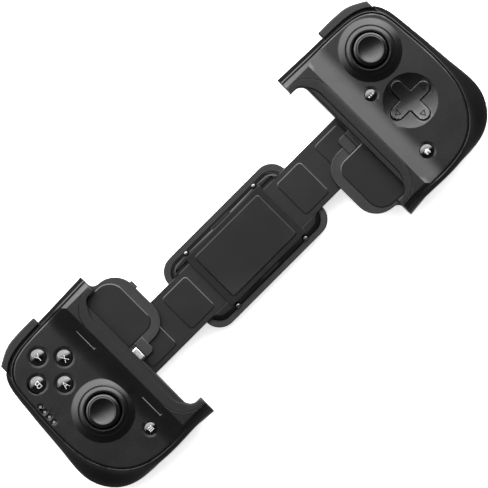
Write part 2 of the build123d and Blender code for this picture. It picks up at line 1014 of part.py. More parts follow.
def cradle(side):
    """Phone ledge with the slot's end wall and the ear that backs the phone."""
    slot_low, slot_high = opening_low + sliding_gap, opening_high - sliding_gap
    neck_span = turned_span(side, neck_low, neck_high)
    thick = cradle_top - cradle_bottom
    web_y = -side * (ear_high + ear_web)
    with BuildPart() as piece:
        add(
            plain_block(
                side,
                lip_edge + seat_gap,
                slot_end + cradle_wall,
                slot_low,
                slot_high,
                cradle_bottom,
                cradle_top,
            )
        )
        add(
            plain_block(
                side,
                slot_end,
                slot_end + cradle_wall,
                slot_low,
                slot_high,
                cradle_bottom,
                slot_roof - seat_gap,
            )
        )
        extrude(
            ear_sketch(
                side,
                cradle_bottom,
                ear_tip,
                ear_high,
                ear_low,
                ear_top_corner,
                ear_low_corner,
                slot_end,
            ),
            amount=thick,
        )
        # Web with a hollow round between the ear and the horn's end face
        with BuildSketch(Plane.XY.offset(cradle_bottom)):
            with BuildLine():
                Polyline(
                    (side * (horn_end - seat_gap), web_y),
                    (side * (horn_end - seat_gap - ear_web), -side * ear_high),
                    (side * (horn_end - seat_gap - ear_web), -side * (ear_high - wall)),
                    (side * (horn_end - seat_gap), -side * (ear_high - wall)),
                    close=True,
                )
            make_face()
            with Locations((side * (horn_end - seat_gap - ear_web), web_y)):
                Circle(ear_web, mode=Mode.SUBTRACT)
        extrude(amount=thick)
        # Neck beside the phone's edge, a little proud of the ear
        add(
            plain_block(
                side, neck_inner, slot_end, *neck_span, cradle_bottom, cradle_top
            )
        )
        add(
            plain_block(
                side,
                neck_inner,
                neck_outer,
                *neck_span,
                cradle_top,
                cradle_top + pad_proud,
            )
        )
        # Nothing of the ear runs into the horns
        for low, high in ((-reach, slot_low), (slot_high, reach)):
            add(
                plain_block(side, horn_end - seat_gap, reach, low, high, 0, reach),
                mode=Mode.SUBTRACT,
            )
        corner_y = neck_span[0] if side == LEFT else neck_span[1]
        corner = piece.edges().filter_by(Axis.Z).sort_by_distance(
            (side * neck_inner, corner_y, cradle_top)
        )
        chamfer(corner[0], length=neck_chamfer)
        if side == LEFT:
            for near, far, step in (
                (latch_neck - sliding_gap, latch_root + sliding_gap, 0),
                (ear_tip - overrun, latch_neck, latch_step),
            ):
                add(
                    plain_block(
                        side,
                        near,
                        far,
                        latch_low - latch_travel - sliding_gap,
                        latch_high + sliding_gap,
                        latch_bottom - sliding_gap + step,
                        latch_top + sliding_gap - step,
                    ),
                    mode=Mode.SUBTRACT,
                )
            add(
                plain_block(
                    side,
                    slot_end - overrun,
                    slot_end + cradle_wall + overrun,
                    plug_y - plug_holder_width / 2 - seat_gap,
                    plug_y + plug_holder_width / 2 + seat_gap,
                    plug_height - plug_holder_height / 2 - seat_gap,
                    plug_height + plug_holder_height / 2 + seat_gap,
                ),
                mode=Mode.SUBTRACT,
            )
    return piece


def ear_pad(side):
    """Soft pad on the ear, run on over the phone ledge behind the lip."""
    with BuildPart() as pad:
        extrude(
            ear_sketch(
                side,
                cradle_top,
                ear_pad_tip,
                ear_pad_high,
                ear_pad_low,
                ear_pad_top_corner,
                ear_pad_low_corner,
                liner_face,
            ),
            amount=pad_proud,
        )
    return pad


def slot_liner(side):
    """Rubber strip on the end wall of the phone slot."""
    with BuildPart() as liner:
        add(
            plain_block(
                side,
                liner_face,
                slot_end,
                opening_low + wall,
                opening_high - wall,
                cradle_top + pad_proud,
                slot_roof - pad_proud,
            )
        )
        if side == LEFT:
            add(
                plain_block(
                    side,
                    0,
                    slot_end,
                    plug_y - plug_holder_width / 2 - seat_gap,
                    plug_y + plug_holder_width / 2 + seat_gap,
                    plug_height - plug_holder_height / 2 - seat_gap,
                    plug_height + plug_holder_height / 2 + seat_gap,
                ),
                mode=Mode.SUBTRACT,
            )
    return liner


def strap(side):
    """Flat telescoping strap, staked into the grip."""
    with BuildPart() as band:
        add(
            plain_block(
                side,
                strap_inner,
                strap_outer,
                -strap_half,
                strap_half,
                strap_bottom,
                strap_top,
            )
        )
        for place in stake_places:
            with Locations((*spot(side, place), strap_bottom)):
                Cylinder(
                    stake_radius + seat_gap,
                    strap_top,
                    align=(Align.CENTER, Align.CENTER, Align.MIN),
                    mode=Mode.SUBTRACT,
                )
    return band


def strap_pads(side):
    """Two soft pads on the strap."""
    with BuildPart() as pads:
        for near, far in strap_pad_spans:
            with BuildSketch(Plane.XY.offset(strap_top)):
                with Locations((side * (near + far) / 2, 0)):
                    RectangleRounded(far - near, 2 * strap_pad_half, strap_pad_corner)
            extrude(amount=pad_proud)
    return pads


def circuit_board(side):
    """Board clamped between the posts and the bosses, with two chips."""
    width = body_outer - horn_end
    points = [
        (side * (horn_end + across * width), along * body_half)
        for across, along in board_shares
    ]
    with BuildPart() as board:
        with BuildSketch(Plane.XY.offset(board_bottom)) as plan:
            with BuildLine():
                Polyline(*points, close=True)
            make_face()
            fillet(plan.vertices(), radius=board_corner)
        extrude(amount=board_thick)
        for place in screw_places:
            with Locations((*spot(side, place), board_bottom)):
                Cylinder(
                    screw_radius + screw_clear,
                    2 * board_thick,
                    align=(Align.CENTER, Align.CENTER, Align.MIN),
                    mode=Mode.SUBTRACT,
                )
        # Chips on the underside, clear of the posts
        for chip_y in chip_rows:
            with Locations((side * chip_x, chip_y, board_bottom)):
                Box(
                    chip_length,
                    chip_width,
                    chip_high,
                    align=(Align.CENTER, Align.CENTER, Align.MAX),
                )
    return board


def button_mat(side):
    """Silicone mat with one dome under each button."""
    mat_edge = cavity_high - 2 * sliding_gap
    with BuildPart() as mat:
        for _, place, radius, _, _ in button_list(side):
            with Locations((*spot(side, place), board_top)):
                Cylinder(
                    radius + mat_margin,
                    mat_sheet,
                    align=(Align.CENTER, Align.CENTER, Align.MIN),
                )
                Cone(
                    mat_dome_radius,
                    button_stem,
                    mat_dome_top - board_top,
                    align=(Align.CENTER, Align.CENTER, Align.MIN),
                )
        if side == LEFT:
            for first, second in ((0, 3), (1, 2)):
                x1, y1 = spot(side, face_button_places[first])
                x2, y2 = spot(side, face_button_places[second])
                with Locations(((x1 + x2) / 2, (y1 + y2) / 2, board_top)):
                    Box(
                        abs(x1 - x2) + button_stem,
                        abs(y1 - y2) + button_stem,
                        mat_sheet,
                        align=(Align.CENTER, Align.CENTER, Align.MIN),
                    )
        else:
            with Locations((*spot(side, pad_place), board_top)):
                Cylinder(
                    pad_arm,
                    mat_sheet,
                    align=(Align.CENTER, Align.CENTER, Align.MIN),
                )
            for quarter in range(4):
                angle = radians(90 * quarter)
                x = pad_place[0] + pad_foot_place * cos(angle)
                y = pad_place[1] + pad_foot_place * sin(angle)
                with Locations((x, y, board_top)):
                    Cylinder(
                        pad_foot_radius,
                        pad_stop_top - board_top,
                        align=(Align.CENTER, Align.CENTER, Align.MIN),
                    )
        add(
            plain_block(side, cavity_start, reach, -reach, mat_edge, 0, reach),
            mode=Mode.INTERSECT,
        )
    return mat


def rear_screws(side):
    """Four screws from behind, through post and board into the bosses."""
    with BuildPart() as screws:
        for place in screw_places:
            with Locations((*spot(side, place), screw_seat)):
                Cylinder(
                    screw_head_radius,
                    screw_head_high,
                    align=(Align.CENTER, Align.CENTER, Align.MAX),
                )
                Cylinder(
                    screw_radius,
                    screw_end - screw_seat,
                    align=(Align.CENTER, Align.CENTER, Align.MIN),
                )
    return screws


def stick_base(side):
    """Cup on the board in which the stick's carrier moves."""
    x, y = spot(side, stick_places[side])
    with BuildPart() as base:
        with BuildSketch(Plane.XY.offset(board_top)):
            with Locations((x, y)):
                RectangleRounded(base_foot, base_foot, base_foot_corner)
        extrude(amount=base_floor)
        with Locations((x, y, board_top)):
            Cylinder(
                base_outer,
                base_top - board_top,
                align=(Align.CENTER, Align.CENTER, Align.MIN),
            )
        with Locations((x, y, board_top + base_floor)):
            Cylinder(
                base_bore,
                base_top,
                align=(Align.CENTER, Align.CENTER, Align.MIN),
                mode=Mode.SUBTRACT,
            )
    return base


def cross_pin(centre, height, radius, near, far, along_x):
    """Two round pins on one line through a centre, from near to far of it."""
    plane = Plane.YZ if along_x else Plane.XZ
    sign = 1 if along_x else -1
    with BuildPart() as pins:
        for way in (-1, 1):
            middle = centre[0] if along_x else sign * centre[1]
            across = centre[1] if along_x else centre[0]
            with BuildSketch(plane.offset(middle + way * near)):
                with Locations((across, height)):
                    Circle(radius)
            extrude(amount=way * (far - near))
    return pins.part


def stick_carrier(side):
    """Ring that carries the gimbal and sinks when the stick is clicked."""
    place = spot(side, stick_places[side])
    with BuildPart() as carrier:
        with Locations((*place, stick_pivot - carrier_drop)):
            Cylinder(
                carrier_outer,
                carrier_drop + hub_half,
                align=(Align.CENTER, Align.CENTER, Align.MIN),
            )
            Cylinder(
                carrier_inner,
                carrier_drop + hub_half,
                align=(Align.CENTER, Align.CENTER, Align.MIN),
                mode=Mode.SUBTRACT,
            )
        add(
            cross_pin(place, stick_pivot, gimbal_pin + pin_gap, 0, base_outer, True),
            mode=Mode.SUBTRACT,
        )
    return carrier


def stick_yoke(side):
    """Ring between carrier and stick, with pins along X."""
    place = spot(side, stick_places[side])
    with BuildPart() as yoke:
        with Locations((*place, stick_pivot)):
            Cylinder(yoke_outer, 2 * gimbal_half)
            Cylinder(yoke_inner, 2 * gimbal_half, mode=Mode.SUBTRACT)
        add(
            cross_pin(
                place,
                stick_pivot,
                gimbal_pin,
                (yoke_inner + yoke_outer) / 2,
                carrier_outer - seat_gap,
                True,
            )
        )
        add(
            cross_pin(place, stick_pivot, gimbal_pin + pin_gap, 0, base_outer, False),
            mode=Mode.SUBTRACT,
        )
    return yoke


def stick_stem(side):
    """Hub, stem and hollow dome that closes the hole in the face."""
    place = spot(side, stick_places[side])
    inner = dome_radius - dome_wall
    angle = radians(dome_angle)
    start = sqrt(dome_radius**2 - stem_radius**2)
    inner_start = sqrt(inner**2 - stem_radius**2)
    half_angle = angle / 2
    with BuildPart() as stem:
        with BuildSketch(Plane.XZ) as dome:
            with BuildLine():
                outer_arc = ThreePointArc(
                    (stem_radius, start),
                    (dome_radius * sin(half_angle), dome_radius * cos(half_angle)),
                    (dome_radius * sin(angle), dome_radius * cos(angle)),
                )
                inner_arc = ThreePointArc(
                    (inner * sin(angle), inner * cos(angle)),
                    (inner * sin(half_angle), inner * cos(half_angle)),
                    (stem_radius, inner_start),
                )
                Line(outer_arc @ 1, inner_arc @ 0)
                Line(inner_arc @ 1, outer_arc @ 0)
            make_face()
        revolve(axis=Axis.Z)
        with BuildSketch(Plane.XY.offset(-hub_half)):
            Circle(hub_radius)
        extrude(amount=2 * hub_half)
        with BuildSketch(Plane.XY):
            Circle(stem_radius)
        extrude(amount=stem_top - stick_pivot)
    with BuildPart() as placed:
        add(stem.part.moved(Location((*place, stick_pivot))))
        add(
            cross_pin(
                place, stick_pivot, gimbal_pin, hub_half, yoke_outer - seat_gap, False
            )
        )
    return placed


def stick_cap(side):
    """Rubber cap with a bowl and a raised edge."""
    place = spot(side, stick_places[side])
    with BuildPart() as cap:
        with BuildSketch(Plane.XZ):
            with BuildLine():
                bowl = ThreePointArc(
                    (0, bowl_floor),
                    (bowl_radius / 2, bowl_floor + (cap_rim_top - bowl_floor) / 5),
                    (bowl_radius, cap_rim_top - seam_gap),
                )
                Polyline(
                    bowl @ 1,
                    (cap_rim_radius, cap_rim_top),
                    (cap_shoulder, cap_side_top),
                    (cap_radius, cap_side_foot),
                    (cap_radius, cap_side_bottom),
                    (neck_radius, cap_bottom),
                    (neck_radius, neck_bottom),
                    (stem_radius + seat_gap, neck_bottom),
                    (stem_radius + seat_gap, stem_top + seat_gap),
                    (0, stem_top + seat_gap),
                    (0, bowl_floor),
                )
            make_face()
        revolve(axis=Axis.Z)
    with BuildPart() as placed:
        add(cap.part.moved(Location((*place, 0))))
    return placed


def round_button(side, place, radius, top, edge):
    """Domed cap with a flange under the face and a stem to its mat."""
    rise = top - edge
    sphere = (radius**2 + rise**2) / (2 * rise)
    half = radius / 2
    with BuildPart() as cap:
        with BuildSketch(Plane.XZ):
            with BuildLine():
                dome = ThreePointArc(
                    (0, top),
                    (half, top - sphere + sqrt(sphere**2 - half**2)),
                    (radius, edge),
                )
                Polyline(
                    dome @ 1,
                    (radius, flange_top),
                    (radius + button_flange, flange_top),
                    (radius + button_flange, flange_top - flange_thick),
                    (button_stem, flange_top - flange_thick),
                    (button_stem, stem_bottom),
                    (0, stem_bottom),
                    (0, top),
                )
            make_face()
        revolve(axis=Axis.Z)
    with BuildPart() as placed:
        add(cap.part.moved(Location((*spot(side, place), 0))))
    return placed


def direction_pad():
    """Cross with a hollowed top, and a post with pins in its gimbal ring."""
    centre = pad_place
    with BuildPart() as cross:
        extrude(cross_sketch(pad_bottom, pad_arm, pad_half, centre), amount=pad_top - pad_bottom)
        with Locations((*centre, pad_bowl_floor + pad_bowl_radius)):
            Sphere(pad_bowl_radius, mode=Mode.SUBTRACT)
        with Locations((*centre, pad_post_bottom)):
            Cylinder(
                pad_post,
                pad_bottom - pad_post_bottom + seat_gap,
                align=(Align.CENTER, Align.CENTER, Align.MIN),
            )
        add(cross_pin(centre, pad_pivot, pad_pin, 0, pad_ring_outer - seat_gap, False))
        with Locations((*centre, pad_foot_bottom)):
            with PolarLocations(pad_foot_place, 4):
                Cylinder(
                    pad_foot_radius,
                    pad_bottom - pad_foot_bottom + seat_gap,
                    align=(Align.CENTER, Align.CENTER, Align.MIN),
                )
    return cross


def pad_ring():
    """Gimbal ring of the direction pad, with pins along X."""
    with BuildPart() as ring:
        with Locations((*pad_place, pad_pivot)):
            Cylinder(pad_ring_outer, 2 * pad_ring_half)
            Cylinder(pad_ring_inner, 2 * pad_ring_half, mode=Mode.SUBTRACT)
        add(
            cross_pin(
                pad_place,
                pad_pivot,
                pad_pin,
                (pad_ring_inner + pad_ring_outer) / 2,
                pad_lug_outer - seat_gap,
                True,
            )
        )
        add(
            cross_pin(pad_place, pad_pivot, pad_pin + pin_gap, 0, pad_lug_outer, False),
            mode=Mode.SUBTRACT,
        )
    return ring


def bumper(side):
    """Bumper on the far edge, turning on a pin at its inner end."""
    with BuildPart() as bar:
        add(
            bumper_region(
                side, 0, bumper_back_grow, bumper_bottom, bumper_top - bumper_bottom
            )
        )
        top_edges = bar.faces().sort_by(Axis.Z)[-1].edges()
        fillet(top_edges, radius=bumper_foot_round)
        with Locations((*spot(side, bumper_pin_place), 0)):
            Cylinder(
                bumper_pin_radius + pin_gap,
                bumper_pin_top + seat_gap,
                align=(Align.CENTER, Align.CENTER, Align.MIN),
                mode=Mode.SUBTRACT,
            )
    return bar


def bumper_pin(side):
    """Upright pin from the shelf into the bumper."""
    with BuildPart() as pin:
        with Locations((*spot(side, bumper_pin_place), bumper_pin_bottom)):
            Cylinder(
                bumper_pin_radius,
                bumper_pin_top - bumper_pin_bottom,
                align=(Align.CENTER, Align.CENTER, Align.MIN),
            )
    return pin


def trigger_section(side, x, front):
    """One section of the trigger, from its hub to the hollow front."""

    def along_section(shares, start_y):
        return [
            (start_y + along * trigger_hub, trigger_axis_z + up * trigger_hub)
            for along, up in shares
        ]

    front_points = along_section(trigger_front_shares, front)
    back_points = along_section(trigger_back_shares, front)
    hub_points = along_section(trigger_hub_shares, trigger_axis_y)
    with BuildSketch(Plane.YZ.offset(side * x)) as section:
        with BuildLine():
            Line(hub_points[-1], front_points[0])
            Spline(*front_points)
            Spline(front_points[-1], *back_points, hub_points[0])
            Polyline(*hub_points)
        make_face()
    return section.sketch


def trigger(side):
    """Hollow-fronted trigger, lofted along the grip's corner."""
    length = trigger_outer - trigger_inner
    sections = [
        trigger_section(
            side, trigger_inner + along * length, trigger_crest - fall * bumper_fall
        )
        for along, fall in trigger_station_shares
    ]
    with BuildPart() as lever:
        loft(sections=sections)
        add(
            trigger_rod(
                side, trigger_pin_radius + pin_gap, trigger_inner - wall, trigger_outer + wall
            ),
            mode=Mode.SUBTRACT,
        )
    return lever


def trigger_pin(side):
    """Pin through the trigger's hub."""
    with BuildPart() as pin:
        add(
            trigger_rod(
                side,
                trigger_pin_radius,
                trigger_pin_inner,
                trigger_bay_outer + trigger_lug - seat_gap,
            )
        )
    return pin


def phone_plug():
    """Flat plug that goes into the phone."""
    with BuildPart() as plug:
        with BuildSketch(Plane.YZ.offset(LEFT * (slot_end + cradle_wall))):
            with Locations((plug_y, plug_height)):
                SlotOverall(plug_width, plug_thick)
        extrude(amount=slot_end + cradle_wall - plug_tip)
        tip = plug.faces().sort_by(Axis.X)[-1].edges()
        fillet(tip, radius=plug_thick / 4)
    return plug


def plug_holder():
    """Plastic block that carries the plug in the slot's end wall."""
    with BuildPart() as holder:
        add(
            plain_block(
                LEFT,
                liner_face,
                slot_end + cradle_wall + plug_holder_back,
                plug_y - plug_holder_width / 2,
                plug_y + plug_holder_width / 2,
                plug_height - plug_holder_height / 2,
                plug_height + plug_holder_height / 2,
            )
        )
        with BuildSketch(Plane.YZ.offset(LEFT * (slot_end + cradle_wall))):
            with Locations((plug_y, plug_height)):
                SlotOverall(plug_width + 2 * seat_gap, plug_thick + 2 * seat_gap)
        extrude(amount=slot_end + cradle_wall, mode=Mode.SUBTRACT)
    return holder


def charge_port():
    """Metal socket on the board, open towards the near edge."""
    middle = board_top + port_height / 2
    with BuildPart() as socket:
        with BuildSketch(Plane.XZ.offset(-port_mouth_y)):
            with Locations((LEFT * port_x, middle)):
                RectangleRounded(port_width, port_height, port_height / 2 - seat_gap)
        extrude(amount=-port_depth)
        with BuildSketch(Plane.XZ.offset(-port_mouth_y)):
            with Locations((LEFT * port_x, middle)):
                RectangleRounded(
                    port_width - 2 * port_wall,
                    port_height - 2 * port_wall,
                    port_height / 2 - port_wall - seat_gap,
                )
        extrude(amount=-(port_depth - port_wall), mode=Mode.SUBTRACT)
        with BuildSketch(Plane.XZ.offset(-port_mouth_y - port_depth + port_wall / 2)):
            with Locations((LEFT * port_x, middle)):
                Rectangle(port_tongue_width, port_tongue)
        extrude(amount=port_tongue_length)
    return socket


def light_pipes():
    """Four clear pins that carry light to the face."""
    with BuildPart() as pipes:
        for place in light_places:
            with Locations((*spot(LEFT, place), board_top)):
                Cylinder(
                    light_radius,
                    face_top - board_top,
                    align=(Align.CENTER, Align.CENTER, Align.MIN),
                )
    return pipes


def latch_slider():
    """Small slider in the edge of the left ear, held by its wider root."""
    with BuildPart() as slider:
        for near, far, step in (
            (latch_neck, latch_root, 0),
            (latch_tip, latch_neck, latch_step),
        ):
            add(
                plain_block(
                    LEFT,
                    near,
                    far,
                    latch_low,
                    latch_high,
                    latch_bottom + step,
                    latch_top - step,
                )
            )
    return slider


def bridge_tray():
    """Lower shell of the bridge, under the straps."""
    with BuildPart() as tray:
        with BuildSketch(Plane.XY.offset(tray_bottom)):
            RectangleRounded(2 * tray_half_length, 2 * tray_half_width, tray_corner)
        extrude(amount=strap_bottom - sliding_gap - tray_bottom)
        fillet(tray.faces().sort_by(Axis.Z)[0].edges(), radius=tray_round)
        with BuildSketch(Plane.XY.offset(tray_bottom + tray_floor)):
            RectangleRounded(tray_pocket_length, tray_pocket_width, tray_round)
        extrude(amount=overrun, mode=Mode.SUBTRACT)
        with Locations((0, 0, bridge_screw_end - seam_gap)):
            with GridLocations(2 * bridge_screw_x, 2 * bridge_screw_y, 2, 2):
                Cylinder(
                    bridge_screw_radius + seat_gap,
                    overrun,
                    align=(Align.CENTER, Align.CENTER, Align.MIN),
                    mode=Mode.SUBTRACT,
                )
    return tray


def bridge_cover():
    """Raised frame over the tray, with a roof over the straps' inner ends."""
    bottom = strap_bottom - sliding_gap
    channel_top = strap_top + pad_proud + sliding_gap
    slope = cover_slope
    with BuildPart() as cover:
        with BuildSketch(Plane.XY.offset(bottom)):
            RectangleRounded(2 * cover_half_length, 2 * cover_half_width, cover_corner)
        with BuildSketch(Plane.XY.offset(bottom + cover_rise)):
            RectangleRounded(
                2 * (cover_half_length - slope),
                2 * (cover_half_width - slope),
                cover_corner - slope,
            )
        loft(ruled=True)
        with BuildSketch(Plane.XY.offset(bottom + cover_rise / 2)):
            RectangleRounded(2 * roof_half_length, 2 * roof_half_width, roof_corner)
        extrude(amount=roof_top - bottom - cover_rise / 2)
        # Channel for both straps, open above outside the roof
        with Locations((0, 0, bottom)):
            Box(
                2 * reach,
                2 * (strap_half + sliding_gap),
                channel_top - bottom,
                align=(Align.CENTER, Align.CENTER, Align.MIN),
                mode=Mode.SUBTRACT,
            )
        for side in (LEFT, RIGHT):
            add(
                plain_block(
                    side,
                    roof_half_length,
                    reach,
                    -strap_half - sliding_gap,
                    strap_half + sliding_gap,
                    bottom,
                    reach,
                ),
                mode=Mode.SUBTRACT,
            )
            add(
                plain_block(
                    side,
                    roof_half_length,
                    slot_notch_end,
                    0,
                    slot_notch_half,
                    bottom,
                    reach,
                ),
                mode=Mode.SUBTRACT,
            )
        for way in (-1, 1):
            clip_y = way * (cover_half_width - slope)
            with Locations((0, clip_y, bottom + cover_rise - clip_drop)):
                Box(
                    2 * clip_half,
                    2 * clip_depth,
                    overrun,
                    align=(Align.CENTER, Align.CENTER, Align.MIN),
                    mode=Mode.SUBTRACT,
                )
        with GridLocations(2 * bridge_screw_x, 2 * bridge_screw_y, 2, 2):
            Cylinder(
                bridge_screw_radius + pin_gap,
                reach,
                align=(Align.CENTER, Align.CENTER, Align.MIN),
                mode=Mode.SUBTRACT,
            )
        with Locations((0, 0, bridge_screw_seat)):
            with GridLocations(2 * bridge_screw_x, 2 * bridge_screw_y, 2, 2):
                Cylinder(
                    bridge_screw_head + seam_gap,
                    reach,
                    align=(Align.CENTER, Align.CENTER, Align.MIN),
                    mode=Mode.SUBTRACT,
                )
    return cover


def bridge_panel():
    """Soft panel on the roof."""
    with BuildPart() as panel:
        with BuildSketch(Plane.XY.offset(roof_top)):
            RectangleRounded(2 * panel_half_length, 2 * panel_half_width, panel_corner)
        extrude(amount=pad_proud)
        fillet(panel.faces().sort_by(Axis.Z)[-1].edges(), radius=panel_round)
    return panel


def bridge_screws():
    """Four domed screws that hold the cover on the tray."""
    with BuildPart() as screws:
        with Locations((0, 0, bridge_screw_seat)):
            with GridLocations(2 * bridge_screw_x, 2 * bridge_screw_y, 2, 2):
                Cylinder(
                    bridge_screw_head,
                    bridge_screw_head_high,
                    align=(Align.CENTER, Align.CENTER, Align.MIN),
                )
        tops = screws.faces().filter_by(Plane.XY).group_by(Axis.Z)[-1].edges()
        fillet(tops, radius=bridge_screw_dome)
        with Locations((0, 0, bridge_screw_end)):
            with GridLocations(2 * bridge_screw_x, 2 * bridge_screw_y, 2, 2):
                Cylinder(
                    bridge_screw_radius,
                    bridge_screw_seat - bridge_screw_end,
                    align=(Align.CENTER, Align.CENTER, Align.MIN),
                )
    return screws


# Every piece is made, labelled and written
save(bridge_tray(), "bridge_tray")
save(bridge_cover(), "bridge_cover")
save(bridge_panel(), "bridge_panel")
save(bridge_screws(), "bridge_screws")

grip_pieces = {
    "rear_shell": rear_shell,
    "front_shell": front_shell,
    "rim": rubber_rim,
    "cradle": cradle,
    "ear_pad": ear_pad,
    "slot_liner": slot_liner,
    "strap": strap,
    "strap_pads": strap_pads,
    "circuit_board": circuit_board,
    "button_mat": button_mat,
    "rear_screws": rear_screws,
    "stick_base": stick_base,
    "stick_carrier": stick_carrier,
    "stick_yoke": stick_yoke,
    "stick_stem": stick_stem,
    "stick_cap": stick_cap,
    "bumper": bumper,
    "bumper_pin": bumper_pin,
    "trigger": trigger,
    "trigger_pin": trigger_pin,
}
for side, side_name in SIDE_NAMES.items():
    for piece_name, make_piece in grip_pieces.items():
        save(make_piece(side), f"{side_name}_{piece_name}")
    for button_name, place, radius, top, edge in button_list(side):
        save(round_button(side, place, radius, top, edge), button_name)

save(direction_pad(), "direction_pad")
save(pad_ring(), "direction_pad_ring")
save(phone_plug(), "phone_plug")
save(plug_holder(), "plug_holder")
save(charge_port(), "charge_port")
save(light_pipes(), "light_pipes")
save(latch_slider(), "latch_slider")
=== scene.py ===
# %% [markdown]
# # A phone controller, dressed for its portrait
# The CAD model gives every piece its size and its place. This lesson keeps that frame and
# adds what a camera sees: moulded edges, grain, rubber, gloss, printed marks and light.
# Sizes are written in millimetres and turned into metres with one factor.

import json
import math

import bmesh
import bpy
from mathutils import Matrix, Vector


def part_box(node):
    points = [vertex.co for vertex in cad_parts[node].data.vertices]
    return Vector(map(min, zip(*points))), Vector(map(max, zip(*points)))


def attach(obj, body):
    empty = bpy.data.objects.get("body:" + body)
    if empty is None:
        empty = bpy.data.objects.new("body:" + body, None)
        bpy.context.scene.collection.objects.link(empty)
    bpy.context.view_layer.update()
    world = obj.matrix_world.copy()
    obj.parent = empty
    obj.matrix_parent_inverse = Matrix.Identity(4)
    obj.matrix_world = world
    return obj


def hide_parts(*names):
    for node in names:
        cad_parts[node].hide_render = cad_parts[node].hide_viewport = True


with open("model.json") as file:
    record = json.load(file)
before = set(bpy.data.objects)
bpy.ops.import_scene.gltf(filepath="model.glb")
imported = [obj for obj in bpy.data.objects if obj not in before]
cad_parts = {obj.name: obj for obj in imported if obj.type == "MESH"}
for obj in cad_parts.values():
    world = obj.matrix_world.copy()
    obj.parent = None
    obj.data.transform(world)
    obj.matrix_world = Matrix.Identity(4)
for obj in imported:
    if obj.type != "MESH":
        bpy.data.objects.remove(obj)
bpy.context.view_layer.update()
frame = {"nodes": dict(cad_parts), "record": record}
MM = 0.001
LEFT, RIGHT = -1, 1
SIDES = {LEFT: "left", RIGHT: "right"}
UP = Vector((0, 0, 1))

# %% [markdown]
# The picture was taken from straight above, far away, with the controller turned by half a
# right angle. A long lens keeps the sides from leaning, as in the picture.

# %% Camera
PICTURE_WIDTH = 235.4  # what the square picture covers at the face
CAMERA_DISTANCE = 2400
FACE_HEIGHT = 24
CAMERA_SHIFT = 1.1
TURN = -45
SENSOR_WIDTH = 36
VIEW_END = 20  # metres

camera_data = bpy.data.cameras.new("portrait_camera")
camera_data.sensor_width = SENSOR_WIDTH
camera_data.lens = SENSOR_WIDTH * CAMERA_DISTANCE / PICTURE_WIDTH
camera_data.clip_end = VIEW_END
camera = bpy.data.objects.new("portrait_camera", camera_data)
camera.location = (0, CAMERA_SHIFT * MM, (FACE_HEIGHT + CAMERA_DISTANCE) * MM)
camera.rotation_euler = (0, 0, math.radians(TURN))
bpy.context.scene.collection.objects.link(camera)
bpy.context.scene.camera = camera
print("lens:", round(camera_data.lens, 1), "mm")

# %% [markdown]
# ## Light
# Dark plastic shows the lamps more than its own colour. In the picture each domed button is
# bright on the half towards the triggers and black on the other, with a sharp line between
# them close to its middle. Only a lamp as wide as half the sky can do that, so the main light
# is a ceiling of soft sheets whose edges pass over the controller. The sheets lie over each
# other and each starts farther out, so the light grows stronger away from the middle and
# towards the right, and a flat face that mirrors the middle stays dark.

# %% Lamps
SHEET_AZIMUTH = 77  # from +X towards +Y
SHEET_HEIGHT = 2600
SHEET_STEP = 60  # a sheet lies this much above the one before it
SHEET_END = 5600
SHEET_RIGHT = 5200
# How far each sheet starts from the middle, its left end, and its brightness
SHEETS = [(130, -5200, 1.35), (130, -700, 0.7), (500, -2600, 2.0), (1100, -2500, 2.5)]
SIDE_PLACE = (2250, 850)
SIDE_SIZE = (2300, 1900)
SIDE_BRIGHTNESS = 1.5


def soft_lamp(name, size, brightness):
    """A rectangular lamp, as bright from every side, that the camera itself doesn't see."""
    data = bpy.data.lights.new(name, "AREA")
    data.shape = "RECTANGLE"
    data.size, data.size_y = (length * MM for length in size)
    data.energy = brightness * math.pi * data.size * data.size_y
    lamp = bpy.data.objects.new(name, data)
    lamp.visible_camera = False
    bpy.context.scene.collection.objects.link(lamp)
    return lamp


def level_way(azimuth):
    """A level unit vector towards an azimuth."""
    turn = math.radians(azimuth)
    return Vector((math.cos(turn), math.sin(turn), 0))


outwards = level_way(SHEET_AZIMUTH)
rightwards = level_way(SHEET_AZIMUTH - 90)
for number, (start, left_end, brightness) in enumerate(SHEETS):
    size = (SHEET_END - start, SHEET_RIGHT - left_end)
    sheet = soft_lamp(f"ceiling_sheet_{number + 1}", size, brightness)
    centre = (start + SHEET_END) / 2 * outwards + (left_end + SHEET_RIGHT) / 2 * rightwards
    sheet.location = (centre + (SHEET_HEIGHT + SHEET_STEP * number) * UP) * MM
    sheet.rotation_euler = (0, 0, math.radians(SHEET_AZIMUTH))

side_panel = soft_lamp("side_panel", SIDE_SIZE, SIDE_BRIGHTNESS)
side_panel.location = Vector((*SIDE_PLACE, SHEET_HEIGHT - SHEET_STEP)) * MM

# %% [markdown]
# The air of the studio is brightest near the floor, so the sides of the grips are never lost,
# and dark overhead, so the face stays black.

# %% Studio air
# Each band has its height on the unit sphere and its brightness
AIR_BANDS = [(0.12, 0.26), (0.34, 0.10), (0.74, 0.10), (0.84, 0.02)]
world = bpy.data.worlds.new("studio_air")
world.use_nodes = True
air = world.node_tree
air_place = air.nodes.new("ShaderNodeTexCoord")
air_split = air.nodes.new("ShaderNodeSeparateXYZ")
air_ramp = air.nodes.new("ShaderNodeValToRGB")
bands = air_ramp.color_ramp.elements
while len(bands) < len(AIR_BANDS):
    bands.new(1.0)
for band, (height, level) in zip(bands, AIR_BANDS):
    band.position = height
    band.color = (level, level, level, 1)
air.links.new(air_place.outputs["Generated"], air_split.inputs["Vector"])
air.links.new(air_split.outputs["Z"], air_ramp.inputs["Fac"])
air.links.new(air_ramp.outputs["Color"], air.nodes["Background"].inputs["Color"])
bpy.context.scene.world = world
bpy.context.scene.view_settings.view_transform = "Standard"
bpy.context.scene.view_settings.look = "None"

# %% [markdown]
# ## Shared surface effects
# Moulded plastic carries the fine grain of its mould, and hands leave it a little uneven in
# gloss. Each effect is one node group, placed in every material with its own values.


